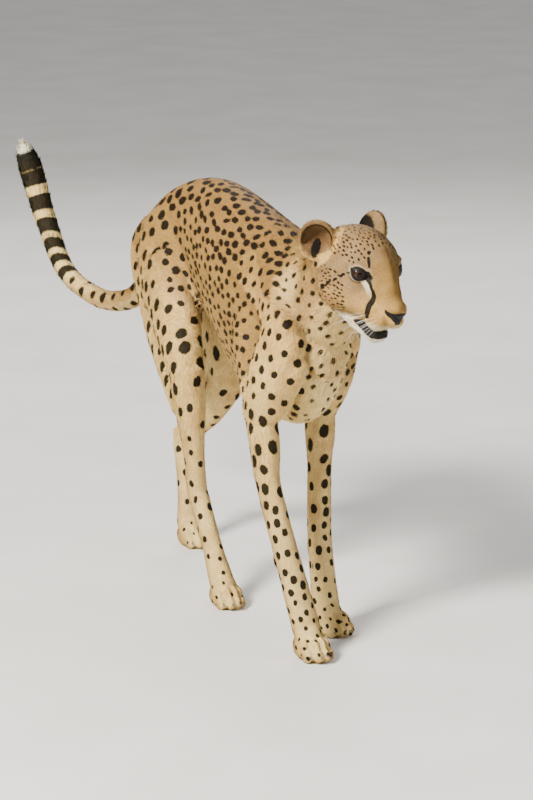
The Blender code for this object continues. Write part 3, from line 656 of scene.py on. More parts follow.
        rows = (  # forward, crown line, lip line, half width
            (-0.132, 0.026, -0.076, 0.052), (-0.104, 0.046, -0.088, 0.061), (-0.070, 0.061, -0.095, 0.066),
            (-0.036, 0.061, -0.097, 0.060), (-0.012, 0.047, -0.096, 0.046), (0.006, 0.030, -0.092, 0.033),
            (0.022, 0.013, -0.088, 0.0255), (0.040, -0.005, -0.083, 0.0225), (0.053, -0.018, -0.076, 0.0205))
        self.add(tube([(HEAD.out((forward, 0, (crown + jaw) / 2)), half * HEAD.scale,
                        (crown - jaw) / 2 * HEAD.scale) for forward, crown, jaw, half in rows],
                      side=side, sides=28, egg=0.06, round_start=0.5, round_end=0.55))
        self.add(tube([(HEAD.out(p), w * HEAD.scale, h * HEAD.scale) for p, w, h in (
            ((-0.060, 0, -0.072), 0.044, 0.030), ((-0.015, 0, -0.086), 0.034, 0.022),
            ((0.014, 0, -0.095), 0.026, 0.0175), ((0.028, 0, -0.1015), 0.0195, 0.0160))], side=side))
        lump((0.057, 0, -0.038), (0.020, 0.021, 0.016))
        lump((0.050, 0, -0.054), (0.0220, 0.0140, 0.0225))
        for sign in (-1, 1):
            lump((-0.050, sign * 0.035, -0.040), (0.056, 0.034, 0.042))
            lump((-0.024, sign * 0.036, 0.014), (0.027, 0.022, 0.0155))
            lump((0.033, sign * 0.0165, -0.0650), (0.027, 0.0170, 0.0210))
            lump((-0.100, sign * 0.050, 0.004), (0.028, 0.020, 0.028))
            self.add(tube([(HEAD.out(p), r * HEAD.scale, r * HEAD.scale) for p, r in (
                ((-0.040, sign * 0.034, -0.046), 0.034), ((-0.006, sign * 0.027, -0.048), 0.026),
                ((0.034, sign * 0.0155, -0.056), 0.0195))], side=side, sides=18))
        for ear in EARS.values():
            self.add(ellipsoid(HEAD.out(ear.out(ear.centre)), ear.radii * HEAD.scale, HEAD.basis @ ear.axes))

    def build(self) -> Surface:
        """All forms of the whole animal."""
        self.trunk()
        self.neck()
        self.head()
        self.tail()
        for side in Side:
            fore, hind = FORELEGS[side], HINDLEGS[side]
            self.foreleg(fore, side.value)
            self.hindleg(hind, side.value)
            self.paw(fore.ball, fore.heading, FORE_PAW)
            self.paw(hind.ball, hind.heading, HIND_PAW)
        return join(self.surfaces)


# ---- bones and the lie of the hair
@dataclass(frozen=True)
class Bone:
    """A straight stretch of the body with the region it belongs to."""

    start: Array
    end: Array
    radius: float
    region: Region
    lie: Array


def bones() -> list[Bone]:
    """Every stretch of the body, in body space, with the way its hair lies."""
    made: list[Bone] = []

    def add(region: Region, points: Sequence[Array], radii: Sequence[float],
            lie: Optional[Array] = None) -> None:
        """A chain of bones; hair lies along the chain unless lie says otherwise."""
        for a, b, r in zip(points, points[1:], radii):
            made.append(Bone(a, b, r, region, unit(b - a) if lie is None else unit(lie)))

    add(Region.HEAD, [HEAD.out(vec(0.060, 0, -0.045)), HEAD.out(vec(0.0, 0, -0.035)),
                      HEAD.out(vec(-0.075, 0, -0.020))], (0.028, 0.065))
    add(Region.NECK, [HEAD.out(vec(-0.125, 0, -0.030)), vec(0.004, -0.300, 0.650),
                      vec(0.0, -0.225, 0.620)], (0.075, 0.095))
    for side, region in zip(Side, TRUNK):
        x = side.value * 0.028
        add(region, [vec(x, -0.150, 0.590), vec(x, 0.000, 0.600), vec(x, 0.150, 0.650), vec(x, 0.300, 0.690),
                     vec(x, 0.410, 0.680)], (0.135, 0.130, 0.110, 0.090))
    for side, region in zip(Side, FORE):
        leg = FORELEGS[side]
        ahead, _ = paw_axes(leg.heading)
        add(region, [leg.blade + vec(side.value * 0.02, 0, -0.03), leg.shoulder], (0.055,),
            vec(0, 0.55, -0.83))
        add(region, [leg.shoulder, leg.elbow], (0.052,), vec(0, 0.35, -0.93))
        add(region, [leg.elbow, leg.mid, leg.wrist, leg.ball, leg.ball + ahead * 0.055 - vec(0, 0, 0.02)],
            (0.034, 0.026, 0.024, 0.026))
    for side, region in zip(Side, HIND):
        leg = HINDLEGS[side]
        ahead, _ = paw_axes(leg.heading)
        add(region, [leg.hip + vec(0, 0, 0.02), leg.knee], (0.070,), vec(0, 0.35, -0.93))
        add(region, [leg.seat, leg.seat + (leg.hock - leg.seat) * 0.55], (0.055,), vec(0, 0.20, -0.97))
        add(region, [leg.knee, leg.hock, leg.ball, leg.ball + ahead * 0.05 - vec(0, 0, 0.018)],
            (0.034, 0.024, 0.023))
    add(Region.TAIL, [TAIL_PATH[i] for i in range(1, 9)], (0.030,) + TAIL_SIZES[2:8])
    return made


@dataclass
class Lie:
    """Where points sit on the body: region, nearest bone and the way of the hair."""

    region: Array
    bone: Array
    flow: Array


def read_lie(points: Array, normals: Array, chain: list[Bone]) -> Lie:
    """Assign points to bones and blend the bones' hair directions.

    A bone's weight is 1 / (distance / radius)^4.  The blended direction is laid into the
    surface by taking away its part along the normal.  On the head it points away from the nose.

    Args:
        points: positions in body space.
        normals: unit normals.
        chain: the bones.

    Returns:
        The lie of each point.
    """
    order = list(Region)
    closeness = np.array([along_span(points, bone.start, bone.end)[0] / bone.radius for bone in chain])
    nearest = np.argmin(closeness, axis=0)
    weight = 1.0 / (closeness ** 4 + 0.02)
    weight /= weight.sum(0)
    flow = weight.T @ np.array([bone.lie for bone in chain])
    head = HEAD.into(points)
    away = HEAD.turned_out(unit(head - vec(0.095, 0, -0.040)))
    on_head = sum(weight[k] for k, bone in enumerate(chain) if bone.region is Region.HEAD)
    flow = blend(unit(flow), away, ease(0.35, 0.75, on_head))
    for ear in EARS.values():
        at = ear.into(head)
        near = ease(0.050, 0.036, norm(at - vec(0, 0, 0.016))) * (at[:, 2] > 0.0)
        fan = unit(at - vec(0, 0, -0.030)) @ ear.axes.T
        flow = blend(flow, HEAD.turned_out(fan), near)
    flow = laid(flow, normals)
    regions = np.array([order.index(bone.region) for bone in chain])[nearest]
    regions[ear_gap(head, 0.012) < 0.043] = order.index(Region.HEAD)
    return Lie(regions, nearest, unit(flow + 1e-9))


# ---- face forms
@dataclass(frozen=True)
class Lids:
    """The almond opening of one eye.  Lengths run over the eyeball, in head space."""

    side: Side
    half_width: float = 0.0146
    upper: float = 0.0068
    lower: float = 0.0084
    tilt: float = math.radians(-16)
    yaw: float = math.radians(37)
    pitch: float = math.radians(9)

    @property
    def centre(self) -> Array:
        """Centre of the eyeball in head space."""
        return HEAD.eye * vec(1, self.side.value, 1)

    @property
    def axes(self) -> Array:
        """Columns: gaze, towards the outer corner, up."""
        sign = self.side.value
        level = math.cos(self.pitch)
        gaze = vec(math.cos(self.yaw) * level, sign * math.sin(self.yaw) * level, math.sin(self.pitch))
        outward = unit(np.cross(gaze, vec(0, 0, 1))) * -sign
        upward = unit(vec(0, 0, 1) - gaze * gaze[2])
        c, s = math.cos(-self.tilt), math.sin(-self.tilt)
        return np.stack([gaze, outward * c + upward * s, upward * c - outward * s], 1)

    def flat(self, head_points: Array) -> tuple[Array, Array, Array]:
        """Lengths outward and upward over the eyeball, and the distance from its centre."""
        local = (head_points - self.centre) @ self.axes
        reach = norm(local)
        radius = HEAD.eye_radius
        return (radius * np.arctan2(local[:, 1], local[:, 0]),
                radius * np.arcsin(np.clip(local[:, 2] / np.maximum(reach, 1e-9), -1, 1)), reach)

    def gap(self, u: Array, v: Array) -> Array:
        """Distance from the lid margin: below zero in the opening.

        The margin is top = upper * (1 - s^2)^0.62 and bottom = -lower * (1 - s^2)^0.75 with
        s = u / half_width.
        """
        s = np.clip(u / self.half_width, -1, 1)
        fade = 1 - s * s
        beyond = np.maximum(v - self.upper * fade ** 0.62, -v - self.lower * fade ** 0.75)
        outside = np.hypot(np.abs(u) - self.half_width, v)
        return np.where(np.abs(u) < self.half_width, beyond * 0.86, outside)

    def margin(self, count: int, reach: float, grow: float = 0.0) -> Array:
        """Closed loop of points over the eyeball at a distance from its centre, in head space."""
        t = circle(count)
        s = np.cos(t)
        fade = np.sin(t) ** 2
        u = s * (self.half_width + grow)
        v = np.where(np.sin(t) >= 0, (self.upper + grow) * fade ** 0.62, -(self.lower + grow) * fade ** 0.75)
        a, b = u / HEAD.eye_radius, v / HEAD.eye_radius
        local = np.stack([np.cos(b) * np.cos(a), np.cos(b) * np.sin(a), np.sin(b)], 1) * reach
        return self.centre + local @ self.axes.T


LIDS = {side: Lids(side) for side in Side}


def lid_gap(head: Array, far: float = 9.0) -> Array:
    """Distance from head-space points to the nearest lid margin, or far where no eye is near."""
    flats = [(lids, *lids.flat(head)) for lids in LIDS.values()]
    return np.minimum.reduce([np.where(reach < 0.03, lids.gap(u, v), far) for lids, u, v, reach in flats])


MOUTH = np.array([(-0.008, 0.0330, -0.0850), (0.008, 0.0310, -0.0850), (0.020, 0.0265, -0.0860),
                  (0.0269, 0.0235, -0.0885), (0.0340, 0.0215, -0.0898), (0.0422, 0.0185, -0.0885),
                  (0.0490, 0.0120, -0.0862), (0.0535, 0.0040, -0.0825), (0.0545, 0.0, -0.0810)])


def mouth_path(sign: float, steps: int = 8) -> Array:
    """Edge of the upper lip from the corner of the mouth to the middle, in head space."""
    return catmull(MOUTH * vec(1, sign, 1), steps)


@dataclass(frozen=True)
class Sculpt:
    """Moves the head's skin into its fine forms; every method takes head-space points."""

    lid_height: float = 0.0011
    blend_width: float = 0.0075

    def eyes(self, head: Array) -> Array:
        """Opens the lids and seats their margins on the eyeballs."""
        out = head.copy()
        for lids in LIDS.values():
            u, v, reach = lids.flat(out)
            gap = lids.gap(u, v)
            front = (reach < 0.040) & (((out - lids.centre) @ lids.axes[:, 0]) > 0.0)
            hood = 0.0010 * bell(u, 0.012) * ease(0.0, 0.006, v) * bell(gap - 0.003, 0.004)
            margin = HEAD.eye_radius + self.lid_height + hood
            wanted = np.where(gap < 0, margin - 0.0045 * ease(0.0, -0.0014, gap), margin)
            share = ease(self.blend_width, 0.0006, gap)
            target = reach + (wanted - reach) * share
            target = np.where(gap > 0, np.maximum(target, margin + 0.10 * np.minimum(gap, 0.01)), target)
            direction = unit(out - lids.centre)
            out = np.where(front[:, None], lids.centre + direction * target[:, None], out)
        return out

    def ears(self, head: Array) -> Array:
        """Hollows the ears' fronts to cups."""
        out = head.copy()
        for ear in EARS.values():
            at = ear.into(out)
            q = (at - ear.hollow_centre) / ear.hollow_radii
            ring = np.hypot(q[:, 0], q[:, 2])
            wall = ear.hollow_centre[1] - ear.hollow_radii[1] * np.sqrt(np.clip(1 - ring * ring, 0, 1))
            share = ease(1.02, 0.80, ring) * ease(-0.014, 0.006, at[:, 2]) * (at[:, 1] > -0.006)
            near = norm(at - vec(0, 0, 0.009)) < 0.050
            at[:, 1] = np.where(near, at[:, 1] + np.minimum(wall - at[:, 1], 0) * share, at[:, 1])
            out = np.where(near[:, None], ear.out(at), out)
        return out

    def muzzle(self, head: Array, normals: Array) -> Array:
        """Cuts the mouth line and philtrum, and fills the whisker pads."""
        move = np.zeros(len(head))
        for sign in (-1, 1):
            gap, _ = along_polyline(head, mouth_path(sign))
            move -= 0.0026 * bell(gap, 0.0024)
            pad = norm((head - vec(0.042, sign * 0.019, -0.070)) / vec(0.018, 0.012, 0.012))
            move += 0.0014 * bell(pad, 1.0)
        front = ease(0.046, 0.056, head[:, 0]) * ease(-0.046, -0.054, head[:, 2])
        philtrum = bell(head[:, 1], 0.0016) * front
        move -= 0.0020 * philtrum * ease(-0.082, -0.076, head[:, 2])
        return head + normals * move[:, None]


@dataclass
class SkinMesh:
    """The fine skin as arrays, in body space, for rooting the coat."""

    points: Array
    normals: Array
    tris: Array
    lie: Lie

    def pick(self, weight: Array, shares: Array) -> Array:
        """Triangles at shares of 0..1 of the total of area times weight."""
        corners = self.points[self.tris]
        area = 0.5 * norm(np.cross(corners[:, 1] - corners[:, 0], corners[:, 2] - corners[:, 0]))
        total = np.cumsum(area * weight)
        return np.minimum(np.searchsorted(total, shares * total[-1]), len(total) - 1)


@dataclass
class Skin:
    """One closed skin over the whole animal, without a seam."""

    voxel: float = 0.0028
    shown_voxel: float = 0.0058
    chain: list[Bone] = field(default_factory=bones)

    def fuse(self) -> Thing:
        """All masses as one closed mesh of even quads."""
        thing = make_object("flesh", Masses().build())
        modify(thing, "REMESH", mode="VOXEL", voxel_size=self.voxel)
        return thing

    def even_out(self, thing: Thing) -> None:
        """Rounds the creases between muscles, more on the body than on face, ears and paws."""
        points, web = read(thing.data.vertices), Web(thing.data)
        head = HEAD.into(points)
        face = ease(0.145, 0.120, norm(head - vec(-0.045, 0, -0.020)))
        fine = np.maximum(face, ease(0.100, 0.060, points[:, 2]))
        grain = (0.0028 / self.voxel) ** 2
        points = web.relax(points, np.ones(len(points)), max(1, round(5 * grain)))
        points = web.relax(points, 1 - 0.85 * fine, max(1, round(24 * grain)))
        trunk = (1 - fine) * ease(0.36, 0.46, points[:, 2]) * ease(-0.32, -0.26, points[:, 1])
        points = web.relax(points, trunk, max(1, round(40 * grain)))
        write_points(thing.data, points)

    def refine(self, thing: Thing, inside: Callable[[Array], Array]) -> None:
        """Splits the faces whose centre lies inside a region of body space."""
        bm = bmesh.new()
        bm.from_mesh(thing.data)
        centres = np.array([face.calc_center_median() for face in bm.faces])
        bm.faces.ensure_lookup_table()
        chosen = [bm.faces[i] for i in np.flatnonzero(inside(centres))]
        edges = list({edge for face in chosen for edge in face.edges})
        bmesh.ops.subdivide_edges(bm, edges=edges, cuts=1, use_grid_fill=True)
        bmesh.ops.triangulate(bm, faces=[face for face in bm.faces if len(face.verts) > 4])
        bm.to_mesh(thing.data)
        bm.free()

    def sculpt(self, thing: Thing) -> None:
        """Works the face's fine forms into the refined head."""
        tool = Sculpt()
        mesh = thing.data
        points, web = read(mesh.vertices), Web(mesh)
        head = HEAD.into(points)
        face = ease(0.150, 0.125, norm(head - vec(-0.045, 0, -0.020)))
        points = web.relax(points, face, 1)
        write_points(mesh, points)
        normals = read(mesh.vertices, "normal") @ HEAD.basis
        head = tool.muzzle(HEAD.into(points), normals)
        head = tool.ears(head)
        points = HEAD.out(head)
        points = web.relax(points, 0.6 * face, 1)
        points = HEAD.out(tool.eyes(HEAD.into(points)))
        write_points(mesh, points)

    def depth(self, points: Array, lie: Lie) -> Array:
        """How far the coat lifts the outline off the skin."""
        of_bone = np.array([COATS[bone.region].depth for bone in self.chain])[lie.bone]
        head = HEAD.into(points)
        out = np.where(ear_gap(head) < 0.042, 0.0008, of_bone)
        out = np.where(head[:, 0] > -0.02, np.minimum(out, 0.0010), out)
        out = np.where(points[:, 2] < 0.28, np.minimum(out, 0.0018), out)
        return np.where(points[:, 2] < 0.075, 0.0008, out)

    def base(self, fine: Thing) -> Thing:
        """A coarser copy of the relaxed flesh, split where detail is wanted and laid onto it."""
        thing = linked("cheetah_skin", fine.data.copy())
        modify(thing, "REMESH", mode="VOXEL", voxel_size=self.shown_voxel)
        skull = lambda p: norm(HEAD.into(p) - vec(-0.040, 0, -0.015))
        self.refine(thing, lambda p: (skull(p) < 0.130) | (p[:, 2] < 0.058))
        self.refine(thing, lambda p: self.near_features(HEAD.into(p)))
        modify(thing, "SHRINKWRAP", target=fine)
        bpy.data.objects.remove(fine, do_unlink=True)
        return thing

    @staticmethod
    def near_features(head: Array) -> Array:
        """Where lids, nose and mouth need the smallest faces."""
        eyes = np.minimum.reduce([norm(head - lids.centre) for lids in LIDS.values()])
        face = (head[:, 0] > -0.022) & (norm(head - vec(0.03, 0, -0.03)) < 0.12)
        return ((eyes < 0.027) | (head[:, 0] > 0.018)) & face

    def build(self) -> tuple[Thing, SkinMesh]:
        """The shown skin in body space, and its arrays for rooting the coat."""
        fine = self.fuse()
        self.even_out(fine)
        thing = self.base(fine)
        self.sculpt(thing)
        mesh = thing.data
        points, normals, web = read(mesh.vertices), read(mesh.vertices, "normal"), Web(mesh)
        lie = read_lie(points, normals, self.chain)
        depth = web.soften(self.depth(points, lie), 15)
        head = HEAD.into(points)
        depth *= ease(0.0, 0.006, lid_gap(head))
        write_points(mesh, points - normals * depth[:, None])
        lie.flow = unit(web.soften(lie.flow, 6))
        mesh.shade_smooth()
        mesh.calc_loop_triangles()
        return thing, SkinMesh(read(mesh.vertices), read(mesh.vertices, "normal"),
                               read(mesh.loop_triangles, "vertices", 3, int), lie)


# ---- the coat's growth
@dataclass(frozen=True)
class Growth:
    """How the hair of one region grows.

    Args:
        length: length of a tuft.
        width: its widest place.
        lift: angle between tuft and skin in degrees.
        depth: how far the skin is drawn in below the outline.
        tufts: how many are set.
    """

    length: float
    width: float
    lift: float
    depth: float
    tufts: int


COATS = {
    Region.HEAD: Growth(0.0075, 0.0010, 14, 0.0020, 90_000),
    Region.NECK: Growth(0.0170, 0.0017, 17, 0.0040, 62_000),
    **dict.fromkeys(TRUNK, Growth(0.0116, 0.0016, 12, 0.0034, 92_000)),
    **dict.fromkeys(FORE, Growth(0.0100, 0.0013, 12, 0.0026, 62_000)),
    **dict.fromkeys(HIND, Growth(0.0115, 0.0014, 12, 0.0028, 72_000)),
    Region.TAIL: Growth(0.0160, 0.0015, 13, 0.0040, 40_000),
}


# ---- markings
@dataclass(frozen=True)
class Palette:
    """Hair colours in linear light."""

    ochre: Array = held(linear(135, 107, 62))
    tawny: Array = held(linear(146, 119, 69))
    face: Array = held(linear(139, 117, 83))
    tan: Array = held(linear(212, 177, 110))
    cream: Array = held(linear(239, 210, 150))
    white: Array = held(linear(240, 232, 212))
    russet: Array = held(linear(196, 158, 112))
    brown: Array = held(linear(88, 62, 40))
    black: Array = held(linear(13, 11, 10))


HAIR = Palette()
# Back line and belly line along the body: y, top, low.
SPINE_ROWS = np.array([(-0.290, 0.655, 0.490), (-0.170, 0.735, 0.392), (-0.080, 0.753, 0.394),
                       (0.010, 0.770, 0.424), (0.090, 0.785, 0.468), (0.170, 0.795, 0.515),
                       (0.240, 0.793, 0.550), (0.310, 0.781, 0.570), (0.434, 0.714, 0.595)])
TAIL_CORE = catmull(TAIL_PATH, 6)
TAIL_END = TAIL_PATH[-1:] + 0.034 * unit(TAIL_PATH[-1:] - TAIL_PATH[-2:-1])
TAIL_LINE = catmull(np.concatenate([TAIL_PATH, TAIL_END]), 6)
TAIL_LENGTH = float(np.sum(norm(np.diff(TAIL_LINE, axis=0))))
# Start and end of each ring, as distances from the tail's tip.
RINGS = np.array([(0.013, 0.055), (0.063, 0.095), (0.117, 0.148), (0.168, 0.202), (0.220, 0.250),
                  (0.268, 0.292), (0.312, 0.336)])
# Black lines of the left half of the face: control points in head space, half widths along each.
# The tear line comes first, then the dashes behind the eye and the marks over the brow.
FACE_LINES = [(np.array(path), np.array(widths)) for path, widths in (
    (((0.0105, 0.0345, 0.0060), (0.0153, 0.0332, -0.0035), (0.0192, 0.0325, -0.0102),
      (0.0245, 0.0289, -0.0221), (0.0270, 0.0275, -0.0282), (0.0299, 0.0323, -0.0356),
      (0.0318, 0.0384, -0.0431), (0.0326, 0.0404, -0.0537), (0.0315, 0.0390, -0.0640)),
     (0.0046, 0.0040, 0.0026, 0.0030, 0.0044, 0.0050, 0.0050, 0.0048, 0.0038)),
    (((-0.0150, 0.0530, 0.0020), (-0.0215, 0.0560, -0.0020)), (0.0020, 0.0010)),
    (((-0.0260, 0.0580, -0.0062), (-0.0305, 0.0595, -0.0110)), (0.0022, 0.0026)),
    (((-0.0370, 0.0615, -0.0165), (-0.0420, 0.0630, -0.0215)), (0.0020, 0.0024)),
    (((-0.0480, 0.0645, -0.0275), (-0.0540, 0.0650, -0.0345)), (0.0026, 0.0030)),
    (((-0.0610, 0.0650, -0.0400), (-0.0680, 0.0640, -0.0440)), (0.0034, 0.0040)),
    (((0.0029, 0.0338, 0.0345), (0.0097, 0.0355, 0.0201)), (0.0022, 0.0030, 0.0020)),
    (((-0.0045, 0.0325, 0.0440), (-0.0025, 0.0330, 0.0425)), (0.0028, 0.0028)),
)]


class Grid:
    """Points sorted into cubes, to find those near a place quickly."""

    def __init__(self, points: Array, cell: float = 0.03) -> None:
        """Sort points into cubes with sides of cell metres."""
        self.points = points
        self.cell = cell
        self.low = points.min(0) - cell
        self.shape = np.ceil((points.max(0) - self.low) / cell).astype(int) + 2
        key = self._key(np.floor((points - self.low) / cell).astype(int))
        self.order = np.argsort(key, kind="stable")
        self.starts = np.searchsorted(key[self.order], np.arange(int(np.prod(self.shape)) + 1))

    def _key(self, cube: Array) -> Array:
        """One number for each cube."""
        return (cube[..., 0] * self.shape[1] + cube[..., 1]) * self.shape[2] + cube[..., 2]

    def near(self, place: Array, reach: float) -> Array:
        """Numbers of the points in the cubes within reach of a place."""
        low = np.maximum(np.floor((place - reach - self.low) / self.cell).astype(int), 0)
        high = np.minimum(np.floor((place + reach - self.low) / self.cell).astype(int), self.shape - 1)
        found = []
        for i in range(low[0], high[0] + 1):
            for j in range(low[1], high[1] + 1):
                row = self._key(np.array([i, j, low[2]])), self._key(np.array([i, j, high[2]]))
                found.append(self.order[self.starts[row[0]]:self.starts[row[1] + 1]])
        return np.concatenate(found) if found else np.zeros(0, int)


@dataclass
class Traits:
    """Measures of places on the skin that colour and growth depend on."""

    points: Array
    normals: Array
    lie: Lie
    head: Array = field(init=False)
    height: Array = field(init=False)
    region: Array = field(init=False)

    def __post_init__(self) -> None:
        """Work out head-space points and the height between belly and back."""
        self.head = HEAD.into(self.points)
        top, low = (np.interp(self.points[:, 1], SPINE_ROWS[:, 0], SPINE_ROWS[:, k]) for k in (1, 2))
        self.height = (self.points[:, 2] - low) / (top - low)
        self.region = self.lie.region

    def in_region(self, *regions: Region) -> Array:
        """1 where the nearest bone is in one of the regions."""
        order = list(Region)
        return np.isin(self.region, [order.index(region) for region in regions])


def spot_plan(traits: Traits) -> tuple[Array, Array, Array]:
    """Spacing of spots and their radii along and across the hair, for each place.

    Returns:
        Spacing (0 for none), radius along, radius across, in metres.
    """
    head, high = traits.head, traits.height
    z, y = traits.points[:, 2], traits.points[:, 1]
    back = ease(0.62, 0.86, high)
    rear = ease(0.17, 0.30, y)
    belly = ease(0.22, 0.02, high)
    plan = [0.0168 + 0.0018 * back + 0.0080 * rear + 0.004 * belly,
            0.0077 + 0.0040 * back + 0.0030 * rear - 0.0010 * belly,
            0.0060 + 0.0006 * back + 0.0030 * rear - 0.0010 * belly]

    def put(here: Array, *values: Any) -> None:
        """Replace spacing and both radii where here is true."""
        plan[:] = [np.where(here, value, old) for value, old in zip(values, plan)]

    fore, hind = traits.in_region(*FORE), traits.in_region(*HIND)
    low = ease(0.36, 0.22, z)
    foot = ease(0.16, 0.07, z)
    upper = ease(0.47, 0.38, z)
    put(fore, 0.0232 - 0.0052 * low - 0.0030 * foot, 0.0077 + 0.0041 * upper - 0.0044 * low - 0.0016 * foot,
        0.0069 + 0.0009 * upper - 0.0022 * low - 0.0012 * foot)
    thigh = ease(0.34, 0.48, z)
    knee = bell(z - 0.42, 0.07)
    put(hind, 0.0244 + 0.0042 * thigh + 0.0036 * knee - 0.0030 * foot,
        0.0078 + 0.0032 * thigh + 0.0026 * knee - 0.0024 * foot,
        0.0058 + 0.0040 * thigh + 0.0008 * knee - 0.0014 * foot)
    paw = ease(0.075, 0.045, z)
    spacing, along, across = plan
    inward = ease(0.1, 0.6, -traits.normals[:, 0] * np.sign(traits.points[:, 0]))
    put(fore | hind, spacing + 0.010 * inward * (z > 0.2), along - 0.0016 * paw, across - 0.0012 * paw)
    put(traits.in_region(Region.NECK), 0.0190, 0.0067, 0.0051)

    crown = ease(0.012, 0.030, head[:, 2]) * ease(0.002, -0.014, head[:, 0]) > 0.4
    cheek = bell(norm((head - vec(-0.062, 0, -0.048)) / vec(0.050, 1.0, 0.042)), 1.0) > 0.36
    nape = ease(-0.075, -0.120, head[:, 0])
    put(traits.in_region(Region.HEAD),
        np.where(crown, 0.0068 + 0.006 * nape, np.where(cheek, 0.0068 + 0.007 * nape, 0.0)),
        np.where(crown, 0.0031, 0.0034) + 0.0020 * nape, np.where(crown, 0.0018, 0.0017) + 0.0014 * nape)
    plan[0] = np.where(ear_gap(head, 0.012) < 0.036, 0.0, plan[0])
    put(traits.in_region(Region.TAIL), 0.0255, 0.0092, 0.0105)
    return tuple(plan)


